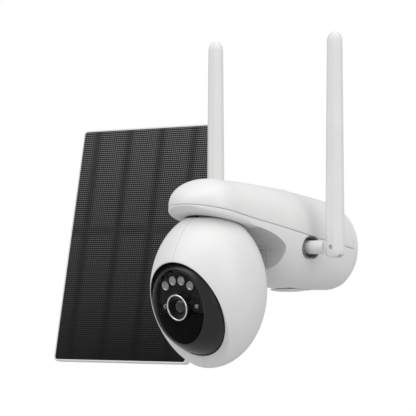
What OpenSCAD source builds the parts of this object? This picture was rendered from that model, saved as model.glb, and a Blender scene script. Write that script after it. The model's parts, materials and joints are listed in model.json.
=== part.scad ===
/* [Housing] */
// Half width of the housing where it meets the wall plate
wall_half_w = 35; // [30:0.5:42]
// Half width of the housing at its fullest
mid_half_w = 38.5; // [34:0.5:46]
// Radius of the round end above the head
nose_r = 31; // [28:0.5:34]
// Distance of the pan axis from the wall
pan_out = 141; // [136:1:150]
// Distance of the housing's front wall from the wall
front_out = 90; // [84:0.5:92]
// Height of the seam at the wall
seam_z0 = -2; // [-6:0.5:2]
// Height of the housing's ridge at the wall
ridge_z0 = 35.3; // [32:0.5:40]
// Depth of the skirt below the seam, in front of the housing
skirt_h = 5.5; // [4:0.5:7]
// Thickness of the moulded walls
wall = 2.2; // [1.8:0.1:2.6]

/* [Wall plate] */
// Radius of the wall plate
plate_r = 34; // [32:0.5:38]
// Thickness of the wall plate
plate_t = 5; // [4:0.5:7]
// Diameter of the circle through the four screw holes
bolt_circle_d = 48; // [40:1:52]
// Diameter of a wall screw's hole
bolt_hole_d = 4.5; // [3.5:0.1:5.5]

/* [Head] */
// Radius of the egg-shaped head
head_r = 45; // [42:0.5:47]
// Half height of the head
head_h = 60; // [56:0.5:62]
// Height of the head's middle
head_z = -34; // [-38:0.5:-32]
// Height of the flat top of the head, inside the skirt
head_top_z = 21; // [18:0.5:22]
// Angle below level that the head's cut-off face looks
face_drop = 25.7; // [20:0.1:30]
// Distance of the cut-off face from the head's middle
face_d = 28.5; // [26:0.5:31]
// Width of the oval opening
mouth_w = 70; // [66:0.5:72]
// Height of the oval opening
mouth_h = 79; // [74:0.5:81]

/* [Camera module] */
// Height of the tilt axis
tilt_z = -39.6; // [-42:0.1:-37]
// Angle below level that the lens looks
look_drop = 12.5; // [5:0.5:20]
// Distance of the flat face from the tilt axis
eye_d = 34.2; // [33:0.1:35.5]
// Width of the face window
eye_w = 46.8; // [44:0.2:48]
// Height of the face window
eye_h = 56.8; // [54:0.2:58]
// Outer diameter of the bright ring around the lens
ring_d = 21; // [18:0.2:23]
// How far the ring stands out of the window
ring_out = 4; // [2:0.2:5]
// Radius of the arc that the four lamps stand on
lamp_arc_r = 20.4; // [18:0.2:21]
// Diameter of a lamp
lamp_d = 6.5; // [5:0.1:7]

/* [Antennas] */
// Distance of an antenna's middle from the camera's middle plane
antenna_side = 62; // [60:0.5:66]
// Distance of the antennas from the wall
antenna_out = 63.5; // [60:0.5:66]
// Height of the fold pin
antenna_z = -0.7; // [-3:0.1:2]
// Length of an antenna above its fold pin
antenna_len = 167.5; // [150:0.5:180]
// Width at the foot
antenna_w0 = 16.5; // [15:0.1:18]
// Width near the tip
antenna_w1 = 13; // [11:0.1:14]
// Thickness at the foot
antenna_t0 = 11; // [10:0.1:12]
// Thickness near the tip
antenna_t1 = 9; // [8:0.1:10]

/* [Solar panel] */
// Width of the panel over its frame
panel_w = 153; // [145:1:160]
// Height of the panel over its frame
panel_h = 201; // [190:1:210]
// Width of the frame's front lip
panel_lip = 1.6; // [1.2:0.1:3]
// Thickness of the frame
panel_t = 5.5; // [5:0.1:8]
// Lean of the panel back from upright
panel_lean = 10.7; // [5:0.1:12]
// Sideways distance of the panel's middle from the camera
panel_side = 165; // [163:0.5:180]
// Distance from the wall to the panel's upright pin
swing_out = 16; // [14:0.5:18]
// Distance from the wall to the panel's level pin
nod_out = 32; // [30:0.5:34]

/* [Hidden] */
$fn = 64;
eps = 0.01;
play = 0.3;
run = 0.06;

// The housing's shape along its length: s is the distance out from the wall.
seam_bend = 0.0005;
seam_rise = 0.13;
bend_end = 84;
slope = seam_rise + 2 * seam_bend * bend_end;
function seam(s) = s < bend_end
  ? seam_z0 + seam_rise * s + seam_bend * s * s
  : seam_z0 + seam_rise * bend_end + seam_bend * bend_end * bend_end + slope * (s - bend_end);
function ease(t) = 0.5 + 0.5 * cos(180 * t);
widest = 70;
function nose(s) = s <= pan_out ? 1 : sqrt(max(0, 1 - pow((s - pan_out) / nose_r, 2)));
function half_w(s) = s < widest
  ? wall_half_w + (mid_half_w - wall_half_w) * sin(90 * s / widest)
  : s < pan_out
    ? nose_r + (mid_half_w - nose_r) * ease((s - widest) / (pan_out - widest))
    : nose_r * nose(s);
function ridge(s) = ridge_z0 + 0.19 * s - 0.00053 * s * s;
nose_h = ridge(pan_out) - seam(pan_out);
function up_h(s) = s <= pan_out ? ridge(s) - seam(s) : (nose_h - 0.18 * (s - pan_out)) * nose(s);
// The underside of the housing rises towards the front, most of all over its last third.
function belly(s) = -34 + 7 * pow(s / front_out, 4) + 8 * pow(max(0, s - 62) / 28, 2);
function down_h(s) = seam(s) - belly(s);

// Rounding of the two ends of the housing, as a shrink of the section.
wall_round = 2.5;
front_round = 1.6;
back_s = plate_t + 0.5;
function corner(r, d) = d >= r ? 0 : r - sqrt(r * r - pow(r - d, 2));
function end_shrink(s) = corner(wall_round, s - back_s) + corner(front_round, front_out - s);
function back_shrink(s) = corner(wall_round, s - back_s);

// Half of one section: a superellipse from the right edge over to the left edge.
half_n = 20;
round_up = 2 / 2.3;
round_down = 2 / 2.7;
function half_ring(s, w, h, p, up) = [
  for (k = [0 : half_n])
    let (a = 180 * k / half_n, c = cos(a), v = sin(a))
      [w * sign(c) * pow(abs(c), p), -s, seam(s) + up * h * pow(max(v, 0), p)]
];
// The same section for a hollow: it runs on past the seam, so that a cut goes right through.
function open_ring(s, w, h, p, up) = concat(
  [[w, -s, seam(s) - 2 * up]],
  half_ring(s, w, h, p, up),
  [[-w, -s, seam(s) - 2 * up]]
);
function ring(s, w, h, p, up, inset) = inset > 0 ? open_ring(s, w, h, p, up) : half_ring(s, w, h, p, up);
function loft_faces(n, m) = concat(
  [for (i = [0 : n - 2]) for (j = [0 : m - 1]) [i * m + j, i * m + (j + 1) % m, (i + 1) * m + (j + 1) % m]],
  [for (i = [0 : n - 2]) for (j = [0 : m - 1]) [i * m + j, (i + 1) * m + (j + 1) % m, (i + 1) * m + j]],
  [[for (j = [0 : m - 1]) m - 1 - j]],
  [[for (j = [0 : m - 1]) (n - 1) * m + j]]
);
function turned(rings) = [for (r = rings) [for (j = [len(r) - 1 : -1 : 0]) r[j]]];
module loft(rings) {
  m = len(rings[0]);
  polyhedron([for (r = rings) for (p = r) p], loft_faces(len(rings), m), convexity = 6);
}

// Stations along the housing, closer together at its rounded ends.
nose_steps = 7;
function nose_stops(cut) = [for (k = [1 : nose_steps]) pan_out + (nose_r - cut) * sin(84 * k / nose_steps)];
body_stops = [back_s, 6.3, 8, 18, 32, 48, 62, 70, 77];
arm_stops = [front_out, 100, 110, 120, 131, pan_out];
base_end = [bend_end, front_out - 1.6, front_out - 0.8, front_out - 0.3, front_out];

module upper_body(inset) {
  start = inset > 0 ? 8 : back_s;
  s_list = concat([for (s = body_stops) if (s >= start) s], arm_stops, nose_stops(inset));
  loft(turned([
    for (s = s_list)
      ring(s, half_w(s) - inset - back_shrink(s), up_h(s) - inset - back_shrink(s), round_up, 1, inset)
  ]));
}

module lower_body(inset) {
  start = inset > 0 ? 8 : back_s;
  tail = inset > 0 ? [bend_end, front_out - wall] : base_end;
  s_list = concat([for (s = body_stops) if (s >= start) s], tail);
  shrink = [for (s = s_list) inset > 0 ? inset : end_shrink(s)];
  loft([
    for (i = [0 : len(s_list) - 1])
      let (s = s_list[i])
        ring(s, half_w(s) - shrink[i], down_h(s) - shrink[i], round_down, -1, inset)
  ]);
}

module skirt_body(inset, drop) {
  s_list = concat([bend_end], arm_stops, nose_stops(inset));
  loft([for (s = s_list) ring(s, half_w(s) - inset, drop * max(nose(s), 0.3), 0.3, -1, inset)]);
}

// Egg outline for a solid of revolution about the pan axis, cut flat at the top.
module egg(r, h, top) {
  steps = 30;
  top_a = asin((top - head_z) / h);
  translate([0, -pan_out, 0])
    rotate_extrude()
      polygon(concat(
        [for (k = [0 : steps]) let (a = -90 + (top_a + 90) * k / steps) [r * cos(a), head_z + h * sin(a)]],
        [[0, top]]
      ));
}
module tube(r_out, r_in, h) {
  difference() {
    cylinder(r = r_out, h = h);
    translate([0, 0, -eps]) cylinder(r = r_in, h = h + 2 * eps);
  }
}
module along_y(s0, s1) {
  translate([0, -s1, 0]) rotate([-90, 0, 0]) linear_extrude(s1 - s0) children();
}
module side_cyl(x0, x1, r) {
  translate([x0, 0, 0]) rotate([0, 90, 0]) cylinder(r = r, h = x1 - x0);
}
module out_cyl(s0, s1, r) {
  translate([0, -s0, 0]) rotate([90, 0, 0]) cylinder(r = r, h = s1 - s0);
}
module plate_xz(s0, s1, w, h, r) {
  translate([0, -s0, 0]) rotate([90, 0, 0]) linear_extrude(s1 - s0) rounded(w, h, r);
}
module rounded(w, h, r) {
  union() {
    square([w - 2 * r, h], center = true);
    square([w, h - 2 * r], center = true);
    for (x = [-1, 1], y = [-1, 1]) translate([x * (w / 2 - r), y * (h / 2 - r)]) circle(r = r);
  }
}
module oval(w, h) {
  polygon([for (k = [0 : 47]) [w / 2 * cos(7.5 * k), h / 2 * sin(7.5 * k)]]);
}

// Fixed points shared by several pieces.
cell_r = 9;
cell_len = 63;
cell_s = 12;
cell_z = -14;
board_z = 4;
speaker_z = -7.6;
screw_sites = [[24, 80.5], [-24, 80.5], [20, 119], [-20, 119]];
cap_gap = 0.6;
cap_t = 2.4;
hub_r = 8;
bay_s = 46;
bay_w = 22;
bay_len = 26;
bay_z = -31.2;
flap_hinge_s = 33;
flap_hinge_z = -33;
button_s = 55;
bolt_angles = [45, 135, 225, 315];
cup_r = 8.9;
cup_off = 1.8;
stub_r = 5.4;

module wall_plate() {
  color("white")
    difference() {
      union() {
        rotate([90, 0, 0]) cylinder(r = plate_r, h = plate_t);
        translate([0, -plate_t, 0]) rotate([90, 0, 0]) cylinder(r = 12, h = 4);
      }
      for (a = bolt_angles)
        rotate([0, a, 0]) translate([bolt_circle_d / 2, eps, 0]) rotate([90, 0, 0])
          cylinder(r = bolt_hole_d / 2, h = plate_t + 1);
    }
}
module back_cuts() {
  for (a = bolt_angles)
    rotate([0, a, 0]) translate([bolt_circle_d / 2, 0, 0]) out_cyl(0, 11.5, 5);
  out_cyl(0, 9.3, 12.2);
}
module cup_shape(x0, x1, r) {
  for (y = [-cup_off, cup_off]) translate([0, y, 0]) side_cyl(x0, x1, r);
  translate([x0, -cup_off, -r]) cube([x1 - x0, 2 * cup_off, 2 * r]);
}
module on_side(side) {
  translate([0, -antenna_out, antenna_z]) mirror([side < 0 ? 1 : 0, 0, 0]) children();
}
module stub_hole(side, r) {
  on_side(side) cup_shape(27, 46, r);
}

module lower_housing() {
  color("white")
    difference() {
      union() {
        difference() {
          union() {
            lower_body(0);
            skirt_body(0, skirt_h);
          }
          lower_body(wall);
          difference() {
            skirt_body(wall, skirt_h - wall);
            egg(head_r + 3, head_h + 3, head_top_z + cap_gap + cap_t);
          }
        }
        intersection() {
          egg(head_r + 3, head_h + 3, head_top_z + cap_gap + cap_t);
          skirt_body(0.8, skirt_h - 0.8);
        }
        translate([0, -pan_out, head_top_z + cap_gap]) cylinder(r = 17.8, h = cap_t);
        for (p = screw_sites)
          if (p[1] > 100)
            translate([p[0], -p[1], seam(p[1]) - 4]) cylinder(r = 3.4, h = 3.5);
        intersection() {
          lower_body(0);
          for (p = screw_sites)
            if (p[1] < 100)
              translate([p[0], -p[1], seam(p[1]) - 37]) cylinder(r = 4.4, h = 35);
        }
        for (x = [-18, 18])
          translate([x, -pan_out, seam(pan_out) - 4]) cylinder(r = 3, h = 7.4);
        translate([-15, -62, bay_z - 0.6]) cube([30, 34, 2]);
        for (x = [-9, 9], s = [33.5, 58.5])
          translate([x, -s, bay_z + 1]) cylinder(r = 1.4, h = 4.6);
      }
      egg(head_r + cap_gap, head_h + cap_gap, head_top_z + cap_gap);
      translate([0, -pan_out, 10]) cylinder(r = hub_r + run, h = 20);
      translate([0, -pan_out, head_top_z + cap_gap + cap_t]) cylinder(r = 12.6, h = 6);
      for (p = screw_sites)
        translate([p[0], -p[1], 0]) {
          translate([0, 0, -40]) cylinder(r = 2.9, h = 40 + seam(p[1]) - (p[1] < 100 ? 6 : 2.6));
          cylinder(r = 1.6, h = 30);
        }
      front_opening(front_out, 2.4, 87, 92);
      for (side = [-1, 1]) stub_hole(side, cup_r + 0.05);
      back_cuts();
      translate([-bay_w / 2, -bay_s - bay_len / 2, -40]) cube([bay_w, bay_len, 40 + bay_z]);
      translate([0, -flap_hinge_s, flap_hinge_z]) {
        translate([-bay_w / 2, -3, -6]) cube([bay_w, 5, 7.9]);
        side_cyl(-bay_w / 2 - 2, bay_w / 2 + 2, 0.8);
      }
      translate([0, -bay_s + 5, bay_z - 1]) translate([-5, -4, 0]) cube([10, 4.2, 4]);
      translate([0, -button_s, bay_z - 1]) cylinder(r = 1.75, h = 4);
    }
}
module front_opening(s, inset, s0, s1) {
  intersection() {
    translate([0, -s0, 0]) rotate([90, 0, 0]) linear_extrude(s1 - s0)
      polygon([for (p = half_ring(s, half_w(s) - inset, down_h(s) - inset, round_down, -1)) [p[0], p[2]]]);
    translate([-60, -s1, -60]) cube([120, s1 - s0, 66.4 - inset / 2]);
  }
}
cove_out = 28;
cove_down = 11.5;
cove_half_w = 31.4;
function cove_stop(a) = front_out - 0.5 + cove_out * (1 - cos(a));
function cove_low(a) = seam(cove_stop(a)) - skirt_h + 0.25 - cove_down * (1 - sin(a));
module cove() {
  s_end = cove_stop(66);
  translate([-cove_half_w, 0, 0]) rotate([90, 0, 90])
    linear_extrude(2 * cove_half_w)
      polygon(concat(
        [[-87.4, cove_low(0)]],
        [for (a = [0 : 6 : 66]) [-cove_stop(a), cove_low(a)]],
        [
          [-s_end, seam(s_end) - skirt_h - 0.1],
          [-front_out - 0.1, seam(front_out + 0.1) - skirt_h - 0.1],
          [-front_out - 0.1, 5],
          [-87.4, 5]
        ]
      ));
}
module front_wall() {
  color("dimgray")
    difference() {
      union() {
        front_opening(87.6, 2.4, 85.2, 87.6);
        cove();
      }
      for (i = [-5 : 5], j = [-3 : 3])
        translate([i * 2.8, 0, speaker_z + j * 2.4]) out_cyl(84, 95, 0.6);
    }
}
module top_cover() {
  color("white") {
    difference() {
      upper_body(0);
      upper_body(wall);
      for (side = [-1, 1]) stub_hole(side, cup_r + 0.05);
      back_cuts();
      for (s = [12, 55]) translate([0, -s, ridge(s) - 1.4]) cylinder(r = 5.1, h = 6);
    }
    intersection() {
      upper_body(1);
      for (p = screw_sites)
        translate([p[0], -p[1], seam(p[1]) + 0.4])
          difference() {
            cylinder(r = 4, h = 50);
            translate([0, 0, -eps]) cylinder(r = 2.4, h = 9);
          }
    }
  }
}
module cover_plugs() {
  color("gainsboro")
    for (s = [12, 55])
      translate([0, -s, ridge(s) - 1.35]) {
        cylinder(r = 5, h = 1.8);
        translate([0, 0, 1.8]) intersection() {
          cylinder(r = 5, h = 2);
          translate([0, 0, -9.5]) sphere(r = 10.6);
        }
      }
}
function box_ring(s, w, up, down) = [
  [w, -s, seam(s) + down], [-w, -s, seam(s) + down], [-w, -s, seam(s) + up], [w, -s, seam(s) + up]
];
module cover_gasket() {
  color("black")
    difference() {
      intersection() {
        union() {
          upper_body(wall + 0.05);
          skirt_body(wall + 0.05, 1);
        }
        loft([for (s = [9, 30, 50, 70, 90, 110, 168]) box_ring(s, 45, 1.1, -0.9)]);
      }
      loft([
        for (s = concat([11, 30, 50, 70, 85], arm_stops, nose_stops(5)))
          box_ring(s, half_w(s) - wall - 1.6, 3, -3)
      ]);
      for (p = screw_sites) translate([p[0], -p[1], -10]) cylinder(r = 4.6, h = 60);
      for (side = [-1, 1]) on_side(side) cup_shape(20, 50, cup_r + 0.25);
    }
}
module cover_inserts() {
  color("goldenrod")
    for (p = screw_sites)
      translate([p[0], -p[1], seam(p[1]) + 1]) tube(2.38, 1.3, 6);
}
module cover_screws() {
  color("silver")
    for (p = screw_sites)
      translate([p[0], -p[1], seam(p[1]) - (p[1] < 100 ? 6 : 2.6)]) {
        difference() {
          translate([0, 0, -1.8]) cylinder(r = 2.6, h = 1.8);
          for (a = [0, 90]) rotate([0, 0, a]) translate([-1.6, -0.35, -2]) cube([3.2, 0.7, 1.2]);
        }
        cylinder(r = 1.25, h = 10);
      }
}
module battery_cells() {
  color("seagreen")
    for (x = [-18.3, 0, 18.3])
      translate([x, 0, cell_z]) {
        out_cyl(cell_s, cell_s + cell_len, cell_r);
        out_cyl(cell_s + cell_len, cell_s + cell_len + 1, 3);
      }
}
module battery_holder() {
  color("black") {
    difference() {
      translate([-23, -cell_s - cell_len - 0.5, cell_z + 6.5]) cube([46, cell_len, 3.6]);
      for (x = [-18.3, 0, 18.3])
        translate([x, 0, cell_z]) out_cyl(cell_s - 5, cell_s + cell_len + 5, cell_r + 0.1);
    }
    for (x = [-20, 20], s = [18, 70])
      translate([x, -s, cell_z + 9]) cylinder(r = 2, h = board_z - cell_z - 9);
  }
}
module main_board() {
  color("darkgreen")
    translate([-23, -75, board_z]) cube([46, 61, 1.6]);
}
module modem_board() {
  color("silver")
    translate([-17, -46, board_z + 1.6]) cube([26, 28, 3.4]);
}
module sim_slot() {
  color("silver")
    difference() {
      translate([-8, -66, board_z + 1.6]) cube([16, 15, 2]);
      translate([-6.5, -67, board_z + 2.2]) cube([13, 14, 0.9]);
    }
}
module speaker() {
  color("black")
    translate([0, 0, speaker_z]) {
      out_cyl(79.5, 85.1, 11);
      out_cyl(77.2, 79.6, 7);
    }
}
module port_board() {
  color("darkgreen")
    translate([-11, -60, -25.6]) cube([22, 28, 1.2]);
}
module charging_socket() {
  color("silver")
    difference() {
      translate([-4.6, -bay_s + 1.4, -31]) cube([9.2, 3.4, 5.4]);
      translate([-4.2, -bay_s + 1.8, -32]) cube([8.4, 2.6, 4.6]);
    }
  color("black")
    translate([-3.2, -bay_s + 2.8, -30.6]) cube([6.4, 0.7, 4]);
}
module reset_button() {
  color("black")
    translate([0, -button_s, -31.9]) {
      cylinder(r = 1.6, h = 4.1);
      translate([0, 0, 2.4]) cylinder(r = 2.4, h = 1);
    }
}
module port_cover() {
  color("white")
    difference() {
      union() {
        translate([0, -bay_s - 0.4, flap_hinge_z - 1.6])
          linear_extrude(1.7) rounded(bay_w - 0.8, bay_len - 1.6, 2.5);
        translate([0, -bay_s - 1, flap_hinge_z - 2.6])
          linear_extrude(1.1) rounded(14, 16, 3);
        for (x = [-8, 8]) translate([x - 2, -flap_hinge_s, flap_hinge_z]) side_cyl(0, 4, 1.5);
      }
      translate([0, -flap_hinge_s, flap_hinge_z]) side_cyl(-20, 20, 0.8 + run);
    }
}
module port_cover_pin() {
  color("silver")
    translate([0, -flap_hinge_s, flap_hinge_z]) side_cyl(-bay_w / 2 - 1.5, bay_w / 2 + 1.5, 0.8);
}
module pan_motor() {
  color("silver")
    translate([0, -pan_out, 28.4])
      difference() {
        union() {
          translate([0, 0, 0.2]) cylinder(r = 13, h = 15);
          intersection() {
            cylinder(r = 21.5, h = 1.6);
            translate([-25, -4, 0]) cube([50, 8, 2]);
          }
        }
        translate([0, 0, -1]) cylinder(r = 3 + run, h = 9);
      }
}
module antenna_socket(side) {
  color("dimgray")
    on_side(side)
      difference() {
        cup_shape(28, 38.3, cup_r);
        cup_shape(31.5, 40, cup_r - 1.2);
        side_cyl(20, 50, stub_r + run);
      }
}
module antenna_socket_left() {
  antenna_socket(-1);
}
module antenna_socket_right() {
  antenna_socket(1);
}
tongue_t = 5;
tongue_r = 6.4;
fold_pin_r = 1.5;
stub_end = antenna_side - 9.6;
module antenna_swivel(side) {
  color("white")
    on_side(side)
      difference() {
        union() {
          side_cyl(25.2, 27.7, stub_r + 1.6);
          side_cyl(25.2, stub_end, stub_r);
          intersection() {
            union() {
              translate([stub_end - 2, -tongue_t / 2, -tongue_r]) cube([11.6, tongue_t, 2 * tongue_r]);
              translate([antenna_side, tongue_t / 2, 0])
                rotate([90, 0, 0]) cylinder(r = tongue_r, h = tongue_t);
            }
            side_cyl(stub_end - 2, 80, tongue_r + 1);
          }
        }
        translate([antenna_side, 10, 0]) rotate([90, 0, 0]) cylinder(r = fold_pin_r + run, h = 20);
        side_cyl(20, stub_end - 3, 1.6);
      }
}
module antenna_swivel_left() {
  antenna_swivel(-1);
}
module antenna_swivel_right() {
  antenna_swivel(1);
}

// Eight-sided section of an antenna at height h, with its width and thickness easing off into the tip.
tip_len = 7;
function blade_scale(h) = h < antenna_len - tip_len
  ? 1
  : sqrt(max(0.02, 1 - pow((h - antenna_len + tip_len) / tip_len, 2)));
function blade_ring(h) =
  let (
    t = h / antenna_len,
    w = (antenna_w0 + (antenna_w1 - antenna_w0) * t) / 2 * blade_scale(h),
    d = (antenna_t0 + (antenna_t1 - antenna_t0) * t) / 2 * blade_scale(h),
    c = 0.42
  )
    [
      [w, d * c, h], [w, -d * c, h], [w * c, -d, h], [-w * c, -d, h],
      [-w, -d * c, h], [-w, d * c, h], [-w * c, d, h], [w * c, d, h]
    ];
module antenna_blade(side) {
  heights = concat(
    [0, antenna_len - tip_len],
    [for (k = [1 : 6]) antenna_len - tip_len + tip_len * sin(15 * k)]
  );
  color("white")
    on_side(side) translate([antenna_side, 0, 0])
      difference() {
        union() {
          loft([for (h = heights) blade_ring(h)]);
          intersection() {
            translate([0, antenna_t0 / 2, 0]) rotate([90, 0, 0])
              cylinder(r = antenna_w0 / 2, h = antenna_t0);
            loft([for (h = [-12, 0.5]) [for (p = blade_ring(0)) [p[0], p[1], h]]]);
          }
        }
        translate([-20, -tongue_t / 2 - play, -20]) cube([20, tongue_t + 2 * play, 20 + tongue_r + 0.8]);
        translate([-1, -tongue_t / 2 - play, -20])
          cube([1 + tongue_r + 0.8, tongue_t + 2 * play, 20 + tongue_r + 0.8]);
        translate([0, 10, 0]) rotate([90, 0, 0]) cylinder(r = fold_pin_r, h = 20);
      }
}
module antenna_blade_left() {
  antenna_blade(-1);
}
module antenna_blade_right() {
  antenna_blade(1);
}
module antenna_pin(side) {
  color("silver")
    on_side(side) translate([antenna_side, antenna_t0 / 2 - 0.4, 0]) rotate([90, 0, 0])
      cylinder(r = fold_pin_r, h = antenna_t0 - 0.8);
}
module antenna_pin_left() {
  antenna_pin(-1);
}
module antenna_pin_right() {
  antenna_pin(1);
}

// The head: an egg shell cut off by a sloping face, split down the middle.
face_k = head_r * head_r * pow(cos(face_drop), 2) + head_h * head_h * pow(sin(face_drop), 2);
face_slip = face_d * (head_h * head_h - head_r * head_r) * sin(face_drop) * cos(face_drop) / face_k;
face_half = head_r * head_h / sqrt(face_k) * sqrt(1 - face_d * face_d / face_k);
mouth_low = face_slip - face_half + 1.1 + mouth_h / 2;
axle_r = 3;
module on_face(d) {
  translate([0, -pan_out, head_z]) rotate([face_drop, 0, 0]) translate([0, -d, 0]) children();
}
module in_front_of_face(d) {
  on_face(d) translate([-80, -100, -100]) cube([160, 100, 200]);
}
module mouth(d0, d1, grow) {
  on_face(d0) translate([0, 0, -mouth_low]) rotate([90, 0, 0])
    linear_extrude(d1 - d0) oval(mouth_w + 2 * grow, mouth_h + 2 * grow);
}
module at_tilt() {
  translate([0, -pan_out, tilt_z]) children();
}
lid_t = 2.4;
module head_skin() {
  difference() {
    egg(head_r, head_h, head_top_z);
    in_front_of_face(face_d);
    intersection() {
      egg(head_r - wall, head_h - wall, head_top_z - lid_t);
      behind_mouth(face_d - wall);
    }
    hull() {
      mouth(face_d, face_d + 0.1, 0);
      mouth(face_d - wall - 0.3, face_d - wall - 0.2, 2);
    }
  }
}
module behind_mouth(d) {
  on_face(d) translate([-80, 0, -100]) cube([160, 140, 200]);
}
module head_boss(side) {
  at_tilt() side_cyl(side > 0 ? 35.6 : 1.6 - head_r, side > 0 ? head_r - 1.6 : -35.6, 6.5);
}
module half_space(side) {
  translate([side > 0 ? 0.02 : -60.02, -pan_out - 60, -120]) cube([60, 120, 160]);
}
module head_shell(side) {
  color("white")
    difference() {
      union() {
        intersection() {
          head_skin();
          half_space(side);
        }
        head_boss(side);
        for (p = screw_posts)
          translate([0, -p[0], p[1]]) side_cyl(side > 0 ? 0.02 : -7, side > 0 ? 7 : -0.02, 3.6);
      }
      at_tilt() side_cyl(-41.2, 41.2, axle_r + run);
      translate([0, -pan_out, 5]) cylinder(r = hub_r, h = 30);
      for (p = screw_posts) translate([0, -p[0], p[1]]) {
        side_cyl(-20, 20, 1.1);
        side_cyl(-60, -5, 2.3);
      }
    }
}
screw_posts = [[pan_out - 24, 8], [pan_out - 8, -88.5]];
module head_shell_left() {
  head_shell(-1);
}
module head_shell_right() {
  head_shell(1);
}
module head_screws() {
  color("silver")
    for (p = screw_posts) translate([0, -p[0], p[1]]) {
      side_cyl(-5.2, 6.5, 1.05);
      side_cyl(-6.6, -5.05, 2);
    }
}
module pan_hub() {
  color("dimgray")
    difference() {
      union() {
        translate([0, -pan_out, head_top_z - 7.4]) cylinder(r = 13, h = 5);
        translate([0, -pan_out, head_top_z - 5]) cylinder(r = hub_r, h = 8.3);
        translate([0, -pan_out, head_top_z + cap_gap + cap_t + 0.3]) cylinder(r = 12, h = 2.4);
        translate([0, -pan_out, head_top_z + 4]) cylinder(r = 3, h = 9.4);
      }
      translate([0, -pan_out, 0]) cylinder(r = 2, h = 60);
    }
}

// The tilting camera module: a turned body about the tilt axis with a flat face.
module_half_w = 34.4;
module_r = 44.8;
module_bulge = 41.6;
back_ball_r = 41;
sector = 70;
window_t = 1.5;
split_drop = 5;
lamp_angles = [-38, -12.5, 12.5, 38];
module at_look(d) {
  at_tilt() rotate([look_drop, 0, 0]) translate([0, -d, 0]) rotate([90, 0, 0]) children();
}
function module_radius(x) = min(
  module_r * sqrt(1 - pow(x / module_bulge, 2)),
  29.1 - 1.93 * (abs(x) - 31.6)
);
module turned_body(inset) {
  x_end = module_half_w - inset;
  steps = 22;
  at_tilt() rotate([0, 90, 0]) rotate_extrude()
    polygon(concat(
      [[0, -x_end]],
      [
        for (k = [0 : steps])
          let (x = -x_end + 2 * x_end * k / steps)
            [module_radius(x) - inset, x]
      ],
      [[0, x_end]]
    ));
}
module back_ball(inset) {
  x_end = module_half_w - inset;
  steps = 12;
  at_tilt() rotate([0, 90, 0]) rotate_extrude()
    polygon(concat(
      [[0, -x_end]],
      [
        for (k = [0 : steps])
          let (x = -x_end + 2 * x_end * k / steps)
            [sqrt(pow(back_ball_r - inset, 2) - x * x), x]
      ],
      [[0, x_end]]
    ));
}
module front_sector() {
  reach = 90;
  at_look(0) rotate([0, 90, 0]) translate([0, 0, -60])
    linear_extrude(120)
      polygon([
        [0, 0],
        [-reach * cos(sector), reach * sin(sector)],
        [-reach, 0],
        [-reach * cos(sector), -reach * sin(sector)]
      ]);
}
module behind_face(d) {
  at_look(d - 120) translate([-60, -60, 0]) cube([120, 120, 120]);
}
module window_oval(inset) {
  oval(eye_w - 2 * inset, eye_h - 2 * inset);
}
module module_shell() {
  floor_d = eye_d - window_t;
  color("black")
    difference() {
      intersection() {
        turned_body(0);
        front_sector();
        behind_face(floor_d);
      }
      intersection() {
        turned_body(2);
        behind_face(floor_d - 2);
      }
      at_look(floor_d - 5) linear_extrude(12) window_oval(2.4);
      at_tilt() side_cyl(-60, 60, axle_r);
    }
}
module module_back() {
  color("black")
    difference() {
      back_ball(0);
      back_ball(2);
      front_sector();
      at_tilt() side_cyl(-60, 60, axle_r);
    }
}
module tilt_axle() {
  color("silver")
    at_tilt() {
      side_cyl(31, 40.6, axle_r);
      side_cyl(-40.6, -28, axle_r);
    }
}
module tilt_motor() {
  color("silver")
    at_tilt() side_cyl(14, 30.9, 10);
}
module split_window(upper) {
  at_look(eye_d - window_t)
    linear_extrude(window_t)
      difference() {
        window_oval(0);
        circle(d = ring_d + 0.1);
        translate([-40, upper ? -80 - split_drop : -split_drop - 0.15]) square([80, 80]);
      }
}
module lamp_window() {
  color("lightgray", 0.4) split_window(true);
}
module infrared_window() {
  color("black") split_window(false);
}
module lens_barrel() {
  color("black")
    at_look(eye_d - 15)
      difference() {
        cylinder(d = ring_d - 2.6, h = 15 + ring_out - 1);
        translate([0, 0, 6]) cylinder(d = ring_d - 5.5, h = 30);
        translate([0, 0, 13.5]) cylinder(d1 = ring_d - 5.6, d2 = ring_d - 3.4, h = 6);
      }
}
module lens_ring() {
  color("silver")
    at_look(eye_d - window_t)
      difference() {
        cylinder(d = ring_d, h = window_t + ring_out - 0.6);
        translate([0, 0, -eps]) cylinder(d = ring_d - 2.6, h = 30);
      }
  color("silver")
    at_look(eye_d + ring_out - 0.6)
      tube(ring_d / 2 - 0.5, ring_d / 2 - 1.6, 0.6);
}
module lens_glass() {
  color("purple")
    at_look(eye_d - 5)
      intersection() {
        cylinder(d = ring_d - 5.5, h = 10);
        translate([0, 0, -12]) sphere(r = 16);
      }
}
module image_board() {
  color("darkgreen")
    at_look(eye_d - 16.7) translate([-15, -15, 0]) cube([30, 30, 1.6]);
}
module lamp_board() {
  color("white")
    at_look(eye_d - 6.4)
      linear_extrude(1)
        difference() {
          oval(eye_w - 7, eye_h - 7);
          circle(d = ring_d - 2.4);
          translate([-40, -80 - split_drop]) square([80, 80]);
        }
}
module lamp_lenses() {
  color("ivory")
    for (a = lamp_angles)
      at_look(eye_d - 5.4) rotate([0, 0, a]) translate([0, lamp_arc_r, 0]) {
        cylinder(d = lamp_d - 1, h = 1.6);
        translate([0, 0, 1.5]) intersection() {
          cylinder(d = lamp_d - 1, h = 3);
          translate([0, 0, -1.2]) sphere(r = 3.2);
        }
      }
}
module motion_sensor() {
  color("white")
    at_look(eye_d - 5.4) translate([16, 0, 0]) {
      cylinder(r = 1.9, h = 2.2);
      translate([0, 0, 2.2]) intersection() {
        cylinder(r = 1.9, h = 2);
        translate([0, 0, -1.4]) sphere(r = 2.36);
      }
    }
}
module light_sensor() {
  color("silver")
    at_look(eye_d - 5.4) translate([-16, 0, 0]) tube(1.6, 0.8, 3);
}

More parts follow.
